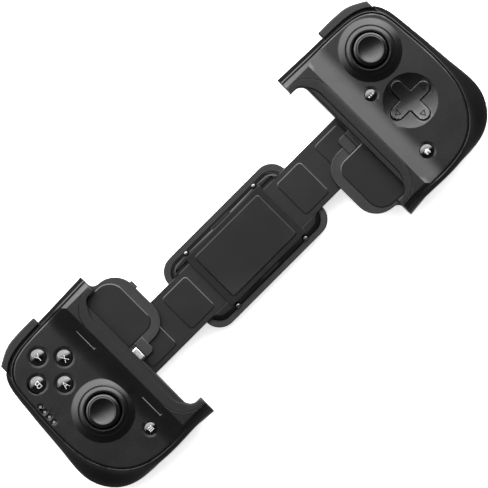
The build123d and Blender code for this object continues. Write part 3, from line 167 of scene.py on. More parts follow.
# %% Node helpers
def new_group(name, inputs, outputs):
    """An empty node group with named inputs and outputs."""
    group = bpy.data.node_groups.new(name, "ShaderNodeTree")
    for label, kind, value in inputs:
        socket = group.interface.new_socket(label, in_out="INPUT", socket_type=kind)
        if value is not None:
            socket.default_value = value
    for label, kind in outputs:
        group.interface.new_socket(label, in_out="OUTPUT", socket_type=kind)
    return group, group.nodes.new("NodeGroupInput"), group.nodes.new("NodeGroupOutput")


def combine(tree, operation, first, second=None, clamp=False):
    """A Math node whose inputs are sockets or numbers."""
    node = tree.nodes.new("ShaderNodeMath")
    node.operation = operation
    node.use_clamp = clamp
    for number, value in enumerate((first, second)):
        if isinstance(value, (int, float)):
            node.inputs[number].default_value = value
        elif value is not None:
            tree.links.new(value, node.inputs[number])
    return node.outputs[0]


def noise(tree, place, scale, detail):
    """A Noise Texture on a position."""
    node = tree.nodes.new("ShaderNodeTexNoise")
    node.inputs["Detail"].default_value = detail
    tree.links.new(place, node.inputs["Vector"])
    if isinstance(scale, (int, float)):
        node.inputs["Scale"].default_value = scale
    else:
        tree.links.new(scale, node.inputs["Scale"])
    return node.outputs["Fac"]


# %% [markdown]
# The grain is a fine noise with a slow one added. The slow one is also given out by itself,
# as a cloud for the colour and the gloss.

# %% Grain of the mould
FINE_DETAIL, SLOW_DETAIL = 2.0, 3.0
SLOW_NOISES, SLOW_SHARE = 90.0, 0.3  # slow noises per metre, and their share of the height


def make_grain_group():
    """Two sizes of noise: the mould's grain and a slow unevenness."""
    group, start, end = new_group(
        "mould_grain",
        [
            ("Position", "NodeSocketVector", None),
            ("Grains per metre", "NodeSocketFloat", 5000.0),
        ],
        [("Height", "NodeSocketFloat"), ("Cloud", "NodeSocketFloat")],
    )
    place = start.outputs["Position"]
    fine = noise(group, place, start.outputs["Grains per metre"], FINE_DETAIL)
    slow = noise(group, place, SLOW_NOISES, SLOW_DETAIL)
    height = combine(group, "ADD", fine, combine(group, "MULTIPLY", slow, SLOW_SHARE))
    group.links.new(height, end.inputs["Height"])
    group.links.new(slow, end.inputs["Cloud"])
    return group


GRAIN = make_grain_group()

# %% [markdown]
# Hands polish the convex edges. Blender's pointiness finds them, and a noise breaks them up. The
# mask gives them a gloss coat and also lightens their colour, which is partly wear and partly a
# painted highlight along the edges.

# %% Polished edges and their painted highlight
EDGE_START, EDGE_GAIN = 0.52, 16.0
BREAK_NOISES, BREAK_DETAIL, BREAK_SHARE, BREAK_BASE = 500.0, 1.0, 0.5, 0.6


def make_polish_and_highlight_group():
    """Convex edges as a mask: polished plastic for the coat, and a painted highlight with some wear
    for the colour.
    """
    group, start, end = new_group(
        "polished_and_highlit_edges",
        [
            ("Position", "NodeSocketVector", None),
            ("Reach", "NodeSocketFloat", EDGE_START),
        ],
        [("Mask", "NodeSocketFloat")],
    )
    geometry = group.nodes.new("ShaderNodeNewGeometry")
    breakup = noise(group, start.outputs["Position"], BREAK_NOISES, BREAK_DETAIL)
    above = combine(group, "SUBTRACT", geometry.outputs["Pointiness"], start.outputs["Reach"])
    sharp = combine(group, "MULTIPLY", above, EDGE_GAIN, clamp=True)
    patches = combine(group, "MULTIPLY", breakup, BREAK_SHARE)
    broken = combine(group, "ADD", patches, BREAK_BASE)
    mask = combine(group, "MULTIPLY", sharp, broken, clamp=True)
    group.links.new(mask, end.inputs["Mask"])
    return group


EDGES = make_polish_and_highlight_group()

# %% [markdown]
# The back of each grip is textured for the fingers: rows of tiny raised studs that fade out
# towards the seam. It is far too fine to model, so it is a bump made from two waves.

# %% Finger texture
STUD_SPACING = 1.1
TEXTURE_TOP = 15.0  # height on the grip where the studs have faded out
TEXTURE_FADE = 5.0


def make_stud_group():
    """Raised studs as a height, on the lower part of the grips only."""
    group, start, end = new_group(
        "finger_studs", [("Position", "NodeSocketVector", None)], [("Height", "NodeSocketFloat")]
    )
    split = group.nodes.new("ShaderNodeSeparateXYZ")
    group.links.new(start.outputs["Position"], split.inputs["Vector"])
    turns = 2 * math.pi / (STUD_SPACING * MM)
    along = combine(group, "ADD", split.outputs["X"], split.outputs["Y"])
    across = combine(group, "SUBTRACT", split.outputs["X"], split.outputs["Y"])
    waves = [
        combine(group, "SINE", combine(group, "MULTIPLY", line, turns))
        for line in (along, across)
    ]
    bumps = combine(group, "MAXIMUM", combine(group, "MULTIPLY", *waves), 0.0)
    below = combine(group, "SUBTRACT", TEXTURE_TOP * MM, split.outputs["Z"])
    fade = combine(group, "DIVIDE", below, TEXTURE_FADE * MM, clamp=True)
    group.links.new(combine(group, "MULTIPLY", bumps, fade), end.inputs["Height"])
    return group


STUDS = make_stud_group()

# %% [markdown]
# ## Materials
# One recipe makes every finish: a base colour with a slight cloud in it, a gloss that varies
# with that cloud, and the mould's grain as a bump. Its values tell dry charcoal plastic from
# grippy rubber, polished buttons or nickel.

# %% Material recipe
COAT_ROUGH = 0.12
EDGE_WEAR_AND_HIGHLIGHT_GAIN, EDGE_WEAR_AND_HIGHLIGHT_LIFT = 1.5, 0.004  # how much lighter a convex edge is painted: partly wear, partly a painted highlight


def put_group(tree, group, place):
    """One of the shared groups, reading a position."""
    node = tree.nodes.new("ShaderNodeGroup")
    node.node_tree = group
    tree.links.new(place, node.inputs["Position"])
    return node


def blend_colours(tree, factor, first, second):
    """A Mix node between two colours, or a linked colour and a fixed one."""
    node = tree.nodes.new("ShaderNodeMix")
    node.data_type = "RGBA"
    tree.links.new(factor, node.inputs["Factor"])
    for label, value in (("A", first), ("B", second)):
        if isinstance(value, tuple):
            node.inputs[label].default_value = (*value, 1)
        else:
            tree.links.new(value, node.inputs[label])
    return node.outputs["Result"]


def finish(
    name,
    colour,
    rough,
    grains=5200.0,
    depth=0.010,
    cloud=0.16,
    uneven=0.10,
    metal=0.0,
    coat=0.0,
    edge_coat=0.6,
    specular=0.5,
    studs=0.0,
):
    """A procedural material for one finish of the controller. Depths are in millimetres."""
    material = bpy.data.materials.new(name)
    material.use_nodes = True
    tree = material.node_tree
    shader = tree.nodes["Principled BSDF"]
    shader.inputs["Metallic"].default_value = metal
    shader.inputs["Coat Roughness"].default_value = COAT_ROUGH
    shader.inputs["Specular IOR Level"].default_value = specular
    place = tree.nodes.new("ShaderNodeTexCoord").outputs["Object"]
    grain = put_group(tree, GRAIN, place)
    grain.inputs["Grains per metre"].default_value = grains
    edges = put_group(tree, EDGES, place)
    dark = tuple(part * (1 - cloud) for part in colour)
    light = tuple(min(1, part * (1 + cloud)) for part in colour)
    # Convex edges are painted lighter: partly wear, partly a painted highlight along the edges.
    wear_and_highlight = tuple(min(1, EDGE_WEAR_AND_HIGHLIGHT_GAIN * part + EDGE_WEAR_AND_HIGHLIGHT_LIFT) for part in colour)
    clouded = blend_colours(tree, grain.outputs["Cloud"], dark, light)
    with_edge_highlight = blend_colours(tree, edges.outputs["Mask"], clouded, wear_and_highlight)
    tree.links.new(with_edge_highlight, shader.inputs["Base Color"])
    gloss = combine(tree, "MULTIPLY", grain.outputs["Cloud"], uneven)
    tree.links.new(
        combine(tree, "ADD", gloss, rough - uneven / 2, clamp=True), shader.inputs["Roughness"]
    )
    coats = combine(tree, "MULTIPLY", edges.outputs["Mask"], edge_coat)
    tree.links.new(combine(tree, "ADD", coats, coat, clamp=True), shader.inputs["Coat Weight"])
    height = combine(tree, "MULTIPLY", grain.outputs["Height"], depth * MM)
    if studs:
        bumps = put_group(tree, STUDS, place)
        lifted = combine(tree, "MULTIPLY", bumps.outputs["Height"], studs * MM)
        height = combine(tree, "ADD", height, lifted)
    bump = tree.nodes.new("ShaderNodeBump")
    bump.inputs["Distance"].default_value = 1.0
    tree.links.new(height, bump.inputs["Height"])
    tree.links.new(bump.outputs["Normal"], shader.inputs["Normal"])
    return material


# %% [markdown]
# The values of a finish are its colour, its roughness, the grains per metre and the grain's
# depth. Nearly all of the controller is black, and the finishes differ in gloss and grain.

# %% Finishes of the controller
FACE_BLACK = (0.0022, 0.0022, 0.0023)
FINISH = {
    "face_plastic": finish("face_plastic", FACE_BLACK, 0.27, depth=0.005, specular=0.45),
    "back_plastic": finish(
        "back_plastic", FACE_BLACK, 0.30, depth=0.008, specular=0.42, studs=0.10
    ),
    "inner_charcoal": finish("inner_charcoal", (0.005, 0.005, 0.0053), 0.36, depth=0.006),
    "strap_plastic": finish("strap_plastic", FACE_BLACK, 0.30, depth=0.006, specular=0.3),
    "rim_rubber": finish(
        "rim_rubber", (0.005, 0.005, 0.0052), 0.45, 2600.0, 0.05, 0.25, specular=0.25
    ),
    "pad_rubber": finish("pad_rubber", FACE_BLACK, 0.30, 3600.0, 0.008, specular=0.35),
    "stick_rubber": finish("stick_rubber", FACE_BLACK, 0.28, 4200.0, 0.008),
    "stick_plastic": finish("stick_plastic", (0.003, 0.003, 0.0032), 0.26, depth=0.003),
    "button_gloss": finish(
        "button_gloss", (0.002, 0.002, 0.0021), 0.09, depth=0.0004, uneven=0.03, coat=0.75
    ),
    "pad_gloss": finish(
        "pad_gloss", (0.003, 0.003, 0.0032), 0.24, depth=0.002, uneven=0.05, coat=0.5
    ),
    "trigger_satin": finish("trigger_satin", (0.005, 0.005, 0.0053), 0.30, depth=0.006),
    "hidden_plastic": finish("hidden_plastic", (0.012, 0.012, 0.0125), 0.5),
    "board_green": finish("board_green", (0.012, 0.075, 0.035), 0.35, 1800.0, cloud=0.4),
    "silicone": finish("silicone", (0.30, 0.30, 0.31), 0.6, depth=0.02),
    "dark_steel": finish("dark_steel", (0.20, 0.20, 0.205), 0.20, 3000.0, 0.002, metal=1.0),
    "pin_steel": finish("pin_steel", (0.48, 0.48, 0.5), 0.25, 3000.0, 0.002, metal=1.0),
    "plug_nickel": finish(
        "plug_nickel", (0.80, 0.80, 0.81), 0.24, 2600.0, 0.002, cloud=0.06, metal=1.0
    ),
    "light_lens": finish("light_lens", (0.10, 0.10, 0.105), 0.22, depth=0.002),
    # A light grey for the painted highlight in the slits of the left ridge.
    "painted_slit_highlight": finish("painted_slit_highlight", (0.11, 0.11, 0.112), 0.35, depth=0.001, edge_coat=0.0),
    "mark_grey": finish("mark_grey", (0.42, 0.42, 0.425), 0.35, depth=0.001, edge_coat=0.0),
    # Dark print for the pad's arrows, and painted shade on the walls of the button holes.
    "dark_print_and_shade": finish(
        "dark_print_and_shade", (0.002, 0.002, 0.002), 0.6, depth=0.001, edge_coat=0.0, specular=0.06
    ),
}
print("finishes:", len(FINISH))

# %% [markdown]
# Every CAD node gets its finish by name, also where a better piece hides it later.

# %% Every CAD node gets a finish
NODE_FINISH = {
    "rear_shell": "back_plastic",
    "front_shell": "face_plastic",
    "rim": "rim_rubber",
    "cradle": "inner_charcoal",
    "ear_pad": "pad_rubber",
    "slot_liner": "pad_rubber",
    "strap": "strap_plastic",
    "strap_pads": "pad_rubber",
    "circuit_board": "board_green",
    "button_mat": "silicone",
    "rear_screws": "dark_steel",
    "stick_base": "hidden_plastic",
    "stick_carrier": "hidden_plastic",
    "stick_yoke": "hidden_plastic",
    "stick_stem": "stick_plastic",
    "stick_cap": "stick_rubber",
    "bumper": "trigger_satin",
    "bumper_pin": "pin_steel",
    "trigger": "trigger_satin",
    "trigger_pin": "pin_steel",
    "bridge_tray": "back_plastic",
    "bridge_cover": "strap_plastic",
    "bridge_panel": "pad_rubber",
    "bridge_screws": "dark_steel",
    "direction_pad": "pad_gloss",
    "direction_pad_ring": "hidden_plastic",
    "phone_plug": "plug_nickel",
    "plug_holder": "hidden_plastic",
    "charge_port": "plug_nickel",
    "light_pipes": "light_lens",
    "latch_slider": "inner_charcoal",
}
FACE_BUTTONS = [f"face_button_{number}" for number in range(1, 5)]
SMALL_BUTTONS = ["menu_button", "view_button", "home_button"]
node_body = {
    node: body for body, nodes in frame["record"]["behaviour"]["bodies"].items() for node in nodes
}


def finish_of(node):
    """The finish of a CAD node, by its name without the side."""
    if node in FACE_BUTTONS + SMALL_BUTTONS:
        return FINISH["button_gloss"]
    return FINISH[NODE_FINISH[node.replace("left_", "", 1).replace("right_", "", 1)]]


for node, thing in frame["nodes"].items():
    thing.data.materials.clear()
    thing.data.materials.append(finish_of(node))
print("CAD nodes with a finish:", len(frame["nodes"]))

# %% [markdown]
# ## Helpers for pieces
# A finished piece is shaded smooth except along its sharp edges and round its big flat faces,
# which must stay flat to the last pixel. It rides on the body of its CAD node.

# %% Helper: a finished piece
FLAT_AREA = 6.0  # square millimetres from which a level face keeps its own shading
LEVEL_ENOUGH, LEAST_TURN = 0.99999, 0.001


def is_wide_level(face):
    """True for a big face that looks straight up or down."""
    return abs(face.normal.z) > LEVEL_ENOUGH and face.calc_area() > FLAT_AREA * MM * MM


def dress(name, shape, node, look=None, sharp=34, replaced=True):
    """Turn a bmesh into a piece that stands for a CAD node and moves with its body."""
    limit = math.radians(sharp)
    shape.normal_update()
    for edge in shape.edges:
        turn = edge.calc_face_angle(math.pi)
        beside_level = turn > LEAST_TURN and any(is_wide_level(face) for face in edge.link_faces)
        edge.smooth = turn < limit and not beside_level
    for face in shape.faces:
        face.smooth = True
    mesh = bpy.data.meshes.new(name)
    shape.to_mesh(mesh)
    shape.free()
    mesh.materials.append(look or finish_of(node))
    piece = bpy.data.objects.new(name, mesh)
    bpy.context.scene.collection.objects.link(piece)
    weigh = piece.modifiers.new("even_shading", "WEIGHTED_NORMAL")
    weigh.keep_sharp = True
    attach(piece, node_body[node])
    if replaced:
        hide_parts(node)
    return piece


# %% [markdown]
# The hard mouldings start from a copy of their CAD mesh, merged and freed of the triangles on
# flat faces. Then a bevel rounds the edges that a test chooses.

# %% Helper: copy a moulding and round its edges
MERGE, BEVEL_MERGE = 0.001, 0.002
FLAT_TURN = math.radians(0.5)  # faces that turn less than this become one


def clean_copy(node):
    """A merged copy of a CAD mesh, with its flat faces whole again."""
    shape = bmesh.new()
    shape.from_mesh(frame["nodes"][node].data)
    bmesh.ops.remove_doubles(shape, verts=shape.verts, dist=MERGE * MM)
    bmesh.ops.dissolve_limit(shape, angle_limit=FLAT_TURN, verts=shape.verts, edges=shape.edges)
    return shape


def middle(edge):
    """The middle of an edge."""
    return (edge.verts[0].co + edge.verts[1].co) / 2


def round_edges(shape, chosen, width, steps=3, sharper_than=32):
    """Bevel the sharp outer edges that the test chooses."""
    limit = math.radians(sharper_than)
    edges = [
        edge
        for edge in shape.edges
        if edge.is_manifold and edge.calc_face_angle(0) > limit and chosen(edge)
    ]
    if edges:
        bmesh.ops.bevel(
            shape,
            geom=edges,
            offset=width * MM,
            offset_type="OFFSET",
            segments=steps,
            profile=0.5,
            affect="EDGES",
            clamp_overlap=False,
            material=-1,
        )
        bmesh.ops.remove_doubles(shape, verts=shape.verts, dist=BEVEL_MERGE * MM)
    return len(edges)


def turn_up(shape):
    """Make the faces of a sheet look upwards."""
    bmesh.ops.recalc_face_normals(shape, faces=shape.faces)
    if sum(face.normal.z for face in shape.faces) < 0:
        bmesh.ops.reverse_faces(shape, faces=shape.faces)


# %% [markdown]
# Round pieces are turned: a profile of radius and height is spun about an upright axis.

# %% Helper: turned shapes
def turned(profile, centre=(0, 0), steps=96, closed=False):
    """Spin a profile of radius and height about an upright axis."""
    shape = bmesh.new()
    x, y = centre
    points = [
        shape.verts.new(((x + radius) * MM, y * MM, height * MM)) for radius, height in profile
    ]
    pairs = list(zip(points, points[1:]))
    if closed:
        pairs.append((points[-1], points[0]))
    lines = [shape.edges.new(pair) for pair in pairs]
    bmesh.ops.spin(
        shape,
        geom=points + lines,
        cent=(x * MM, y * MM, 0),
        axis=UP,
        angle=2 * math.pi,
        steps=steps,
        use_merge=True,
        use_duplicate=False,
    )
    bmesh.ops.remove_doubles(shape, verts=shape.verts, dist=MERGE * MM)
    bmesh.ops.recalc_face_normals(shape, faces=shape.faces)
    return shape


def arc(centre, radius, start, end, steps):
    """Points of a profile along an arc, with angles in degrees."""
    turns = [math.radians(start + (end - start) * step / steps) for step in range(steps + 1)]
    return [
        (centre[0] + radius * math.cos(turn), centre[1] + radius * math.sin(turn)) for turn in turns
    ]


def node_centre(node):
    """The middle of a CAD node in plan, and its lowest and highest level, in millimetres."""
    low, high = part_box(node)
    return (
        ((low[0] + high[0]) / 2 / MM, (low[1] + high[1]) / 2 / MM),
        low[2] / MM,
        high[2] / MM,
    )


# %% [markdown]
# ## Softened mouldings
# No moulded edge is sharp: it is rounded by a few tenths of a millimetre, and that round
# catches the light as a fine bright line. The border of the bridge's cover has a wider round,
# the brow, which shines on the side of the lamp only.

# %% Pieces with one width of round
BROW_LEVEL, BROW_NEAR, BROW_WIDTH, BROW_STEPS = 14.2, 0.05, 0.85, 4
BORDER_LEAN, FLANK_LOW, FLANK_HIGH = 0.95, 0.3, 0.8  # upward parts of the normals beside it


def is_brow(edge):
    """True where the level border of the bridge's cover meets its sloping flank."""
    at_level = abs(middle(edge).z - BROW_LEVEL * MM) < BROW_NEAR * MM
    leans = sorted(face.normal.z for face in edge.link_faces)
    by_flank = len(leans) == 2 and FLANK_LOW < leans[0] < FLANK_HIGH
    return at_level and by_flank and leans[1] > BORDER_LEAN


SOFT_WIDTHS = {"cradle": 0.25, "slot_liner": 0.25, "strap": 0.22, "bumper": 0.3, "trigger": 0.3}
soft_pieces = {
    f"{side_name}_{plain}": width
    for side_name in SIDES.values()
    for plain, width in SOFT_WIDTHS.items()
}
soft_pieces.update(
    bridge_tray=0.4, bridge_cover=0.15, phone_plug=0.1, plug_holder=0.3, latch_slider=0.2
)
for node, width in soft_pieces.items():
    shape = clean_copy(node)
    if node == "bridge_cover":
        round_edges(shape, is_brow, BROW_WIDTH, BROW_STEPS)
    count = round_edges(shape, lambda edge: True, width)
    dress(f"{node}_soft", shape, node)
    print(node, "edges rounded:", count)

# %% [markdown]
# The soft pads have a sloping border that shines on the side of the lamp. Their top face is
# inset, and its old outline is let down.

# %% Soft pads
UPWARD, NEAR = 0.99, 0.01  # a face counts as the top within these
# Width of each border and how far it falls
SLOPES = {"ear_pad": (0.5, 0.22), "strap_pads": (0.45, 0.22)}
sloped_pieces = {
    f"{side_name}_{plain}": slope
    for side_name in SIDES.values()
    for plain, slope in SLOPES.items()
}
sloped_pieces["bridge_panel"] = (0.3, 0.12)
for node, (width, drop) in sloped_pieces.items():
    shape = clean_copy(node)
    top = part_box(node)[1][2]
    tops = [
        face
        for face in shape.faces
        if face.normal.z > UPWARD and face.verts[0].co.z > top - NEAR * MM
    ]
    outlines = {tuple(vertex.co) for face in tops for vertex in face.verts}
    bmesh.ops.inset_region(shape, faces=tops, thickness=width * MM, use_even_offset=True)
    for vertex in shape.verts:
        if tuple(vertex.co) in outlines:
            vertex.co.z -= drop * MM
    dress(f"{node}_soft", shape, node, sharp=15)
    print(node, "tops:", len(tops))

# %% [markdown]
# ## Face plates
# Only the outline of a face plate has a wide round: the picture shows it as a bright line on
# the side of the lamp, beside the black seam. The bed of the rubber rim has a fine one, and
# the holes stay sharp. The ring round the stick is left out of the copy, because it is turned
# by itself in a later step.

# %% Stick places and the collar of the CAD plate
RING_FOOT, PLATE_TOP = 15.4, 26.0
stick_spots = {side: node_centre(f"{name}_stick_cap")[0] for side, name in SIDES.items()}
print("stick spots:", stick_spots)


def on_ring(face, spot):
    """True for a face of the CAD plate on the ring round the stick."""
    centre = face.calc_center_median() / MM
    radius = math.hypot(centre.x - spot[0], centre.y - spot[1])
    return radius < RING_FOOT and centre.z > PLATE_TOP + NEAR


# %% [markdown]
# Two tests choose the edges to round, by where an edge lies and how the faces beside it lean.

# %% Edges of a face plate
RIM_EDGE, RIM_HALF, RIM_MARGIN, BED_LEVEL = 82.4, 39.6, 0.3, 27.5
HORN_END, HORN_MARGIN = 67.3, 0.1
OUTLINE_Y, OUTLINE_X, OUTLINE_CORNER = 38, 121, 150  # the outline lies beyond these
LEVEL_LEAN, UPRIGHT_LEAN = 0.8, 0.3


def is_outline(edge):
    """True for the plate's outer edge, away from its holes and from the rim's bed."""
    far_x, far_y = (abs(place) for place in (middle(edge) / MM).xy)
    in_bed = far_x < RIM_EDGE + RIM_MARGIN and far_y < RIM_HALF + RIM_MARGIN
    level = any(face.normal.z > LEVEL_LEAN for face in edge.link_faces)
    upright = any(abs(face.normal.z) < UPRIGHT_LEAN for face in edge.link_faces)
    far_out = far_y > OUTLINE_Y or far_x > OUTLINE_X or far_y > OUTLINE_CORNER - far_x
    return level and upright and far_out and not in_bed and far_x > HORN_END + HORN_MARGIN


def is_bed(edge):
    """True for the upper edges round the bed of the rubber rim."""
    spot = middle(edge) / MM
    return spot.z > BED_LEVEL and abs(spot.x) < RIM_EDGE + RIM_MARGIN


# %% [markdown]
# The CAD plate has a shallow hollow round each button, which would catch the light as a bright
# crescent that the picture doesn't show. It is made shallower. The walls of the button holes get a
# near-black finish that hardly reflects: painted shade, so that the gap round a button stays black.

# %% Surroundings of the buttons
HOLE_REACH, HOLLOW_FLOOR, HOLLOW_SHARE, WALL_LEAN = 5.0, 25.5, 0.35, 0.9
button_spots = [node_centre(name)[0] for name in (*FACE_BUTTONS, *SMALL_BUTTONS)]


def button_reach(spot):
    """How far a spot lies from the middle of the nearest button, seen from above."""
    return min(math.hypot(spot.x - x, spot.y - y) for x, y in button_spots)


def flatten_hollows(shape):
    """Make the shallow hollow round each button still shallower."""
    for vertex in shape.verts:
        spot = vertex.co / MM
        if button_reach(spot) < HOLE_REACH and HOLLOW_FLOOR < spot.z < PLATE_TOP:
            vertex.co.z = (PLATE_TOP - (PLATE_TOP - spot.z) * HOLLOW_SHARE) * MM


def is_hole_wall(polygon):
    """True for an upright face of the plate close round a button."""
    reach = button_reach(Vector(polygon.center) / MM)
    return reach < HOLE_REACH and abs(polygon.normal.z) < WALL_LEAN


# %% [markdown]
# In the CAD model the well of the direction pad and two slits cut into the right ridge, but
# the picture shows it unbroken. A thin sheet over the ridge closes it. Its section is measured
# on the plate where the ridge is whole.

# %% Sheet over the right ridge
RIDGE_TOP, BUTTON_SIDE, RIDGE_END, SKIN_RISE = 82.5, 90.4, 92.4, 0.03
WHOLE_FROM, WHOLE_TO = -36, -31  # here the ridge is whole
RIDGE_FOOT, RIDGE_STEP = 0.1, 0.01
SKIN_LEVELS = range(-36, 38, 2)
NOTCH_LOW, NOTCH_HIGH = -24, 4  # the sheet is full width only between these


def ridge_line(shape, side):
    """The height of the ridge at each x where the plate has points, away from the well."""
    line = {}
    for vertex in shape.verts:
        x, y, z = vertex.co / MM
        on_ridge = RIDGE_TOP < side * x < RIDGE_END and z > PLATE_TOP + RIDGE_FOOT
        if on_ridge and WHOLE_FROM < y < WHOLE_TO:
            place = round(side * x, 2)
            line[place] = max(z, line.get(place, 0))
    rising = {}
    for place in sorted(line, reverse=True):
        if line[place] > max(rising.values(), default=0) + RIDGE_STEP:
            rising[place] = line[place]
    return rising


def ridge_skin(line, side):
    """A sheet over the ridge, with a notch at each end for the round buttons."""
    skin = bmesh.new()
    rows = []
    for level in SKIN_LEVELS:
        row = [(side * x * MM, level * MM, (z + SKIN_RISE) * MM) for x, z in sorted(line.items())]
        rows.append([skin.verts.new(place) for place in row])
    for low, high in zip(rows, rows[1:]):
        for left in range(len(low) - 1):
            corners = (low[left], low[left + 1], high[left + 1], high[left])
            middle_x = sum(corner.co.x for corner in corners) / 4 / MM
            middle_y = sum(corner.co.y for corner in corners) / 4 / MM
            if side * middle_x < BUTTON_SIDE or NOTCH_LOW < middle_y < NOTCH_HIGH:
                skin.faces.new(corners)
    loose = [vertex for vertex in skin.verts if not vertex.link_faces]
    bmesh.ops.delete(skin, geom=loose, context="VERTS")
    turn_up(skin)
    return skin


# %% [markdown]
# The plate is cut into strips before it is shaded, so that no face is too long and thin to be
# shaded evenly.

# %% Both face plates
OUTLINE_WIDTH, OUTLINE_STEPS, BED_WIDTH, BED_STEPS, PLATE_TURN = 1.0, 5, 0.09, 2, 50
STRIPS_Y = range(-42, 44, 3)
STRIP_START, STRIP_WIDTH, STRIPS_X = 83.3, 1.4, 10


def slice_up(shape, axis, place):
    """Cut the faces where a plane across X or Y meets them."""
    normal = Vector((axis == "x", axis == "y", 0))
    bmesh.ops.bisect_plane(
        shape,
        geom=shape.verts[:] + shape.edges[:] + shape.faces[:],
        plane_co=normal * place * MM,
        plane_no=normal,
        dist=MERGE * MM,
    )


for side, side_name in SIDES.items():
    node = f"{side_name}_front_shell"
    shape = bmesh.new()
    shape.from_mesh(frame["nodes"][node].data)
    bmesh.ops.remove_doubles(shape, verts=shape.verts, dist=MERGE * MM)
    ring_faces = [face for face in shape.faces if on_ring(face, stick_spots[side])]
    bmesh.ops.delete(shape, geom=ring_faces, context="FACES")
    bmesh.ops.dissolve_limit(shape, angle_limit=FLAT_TURN, verts=shape.verts, edges=shape.edges)
    flatten_hollows(shape)
    wide = round_edges(shape, is_outline, OUTLINE_WIDTH, OUTLINE_STEPS, PLATE_TURN)
    fine = round_edges(shape, is_bed, BED_WIDTH, BED_STEPS, PLATE_TURN)
    for level in STRIPS_Y:
        slice_up(shape, "y", level)
    for strip in range(STRIPS_X):
        slice_up(shape, "x", side * (STRIP_START + STRIP_WIDTH * strip))
    if side == RIGHT:
        skin = ridge_skin(ridge_line(shape, side), side)
        dress("right_ridge_skin", skin, node, replaced=False)
    plate = dress(f"{side_name}_face_plate", shape, node, sharp=12)
    # The walls of the button holes get the dark finish as painted shade.
    painted_shade_slot = len(plate.data.materials)
    plate.data.materials.append(FINISH["dark_print_and_shade"])
    walls = [polygon for polygon in plate.data.polygons if is_hole_wall(polygon)]
    for polygon in walls:
        polygon.material_index = painted_shade_slot
    print(node, "outline edges:", wide, "bed edges:", fine, "hole walls:", len(walls))

# %% [markdown]
# A thin light grey strip lies in each slit of the left ridge: a painted highlight along the slit.
# Its lower end turns towards the phone.

# %% Painted highlights in the slits
HIGHLIGHT_X, HIGHLIGHT_HALF, HIGHLIGHT_HOOK, HIGHLIGHT_DEPTH = -86.8, 0.16, 0.8, 0.25
SLIT_HIGHLIGHTS = {"upper": (16.3, 28.4), "lower": (-28.7, -16.6)}
RIDGE_SLOPE, HIGHLIGHT_LEVEL = 0.4394, 28.07
for highlight_name, (low_end, high_end) in SLIT_HIGHLIGHTS.items():
    shape = bmesh.new()
    outline = [
        (HIGHLIGHT_X - HIGHLIGHT_HALF, high_end),
        (HIGHLIGHT_X - HIGHLIGHT_HALF, low_end - HIGHLIGHT_HALF),
        (HIGHLIGHT_X + HIGHLIGHT_HOOK, low_end - HIGHLIGHT_HALF),
        (HIGHLIGHT_X + HIGHLIGHT_HOOK, low_end + HIGHLIGHT_HALF),
        (HIGHLIGHT_X + HIGHLIGHT_HALF, low_end + HIGHLIGHT_HALF),
        (HIGHLIGHT_X + HIGHLIGHT_HALF, high_end),
    ]
    top = shape.faces.new([
        shape.verts.new(Vector((x, y, HIGHLIGHT_LEVEL + (x - HIGHLIGHT_X) * RIDGE_SLOPE + SKIN_RISE)) * MM)
        for x, y in outline
    ])
    made = bmesh.ops.extrude_face_region(shape, geom=[top])
    moved = [item for item in made["geom"] if isinstance(item, bmesh.types.BMVert)]
    bmesh.ops.translate(shape, verts=moved, vec=(0, 0, -HIGHLIGHT_DEPTH * MM))
    bmesh.ops.recalc_face_normals(shape, faces=shape.faces)
    name = f"{highlight_name}_slit_highlight_strip"
    # Each strip is light grey: a painted highlight in its slit.
    dress(name, shape, "left_front_shell", look=FINISH["painted_slit_highlight"], replaced=False)

# %% [markdown]
# The ring round each stick is a smooth bead with a groove outside it and a sloping foot. It
# is turned from one profile, as on a lathe.

# %% Rings round the sticks
RING_STEPS = 128
ring_profile = [
    (9.0, 25.0), (9.0, 28.1), (9.12, 28.32), (9.35, 28.4), (10.05, 28.4), (10.3, 28.34),
    (10.6, 28.22), (11.1, 28.03), (11.5, 27.86), (11.7, 27.74), (11.9, 27.5), (12.3, 27.1),
    (12.5, 27.0), (12.75, 26.95), (13.2, 26.82), (14.0, 26.52), (14.8, 26.22), (15.2, 26.07),
    (15.5, 26.01), (RING_FOOT + 0.4, 25.99), (RING_FOOT + 0.4, 25.0),
]
for side, side_name in SIDES.items():
    shape = turned(ring_profile, stick_spots[side], RING_STEPS, closed=True)
    dress(f"{side_name}_stick_ring", shape, f"{side_name}_front_shell", replaced=False)

# %% [markdown]
# The rear shells keep a fine round, and the rubber rims a wide one.

# %% Rear shells and rims
BACK_WIDTH, BACK_STEPS, RIM_FOLD, RIM_WIDTH = 0.2, 2, 28.6, 0.35
for side_name in SIDES.values():
    shape = clean_copy(f"{side_name}_rear_shell")
    round_edges(shape, lambda edge: True, BACK_WIDTH, BACK_STEPS)
    dress(f"{side_name}_back_case", shape, f"{side_name}_rear_shell")
    shape = clean_copy(f"{side_name}_rim")
    round_edges(shape, lambda edge: middle(edge).z > RIM_FOLD * MM, RIM_WIDTH)
    dress(f"{side_name}_rubber_rim", shape, f"{side_name}_rim")

# %% [markdown]
# ## Thumbsticks
# A stick's cap is a rubber disc with a bowl for the thumb, a rounded crest and three fine
# ribs down its side. A turned profile gives all of it.

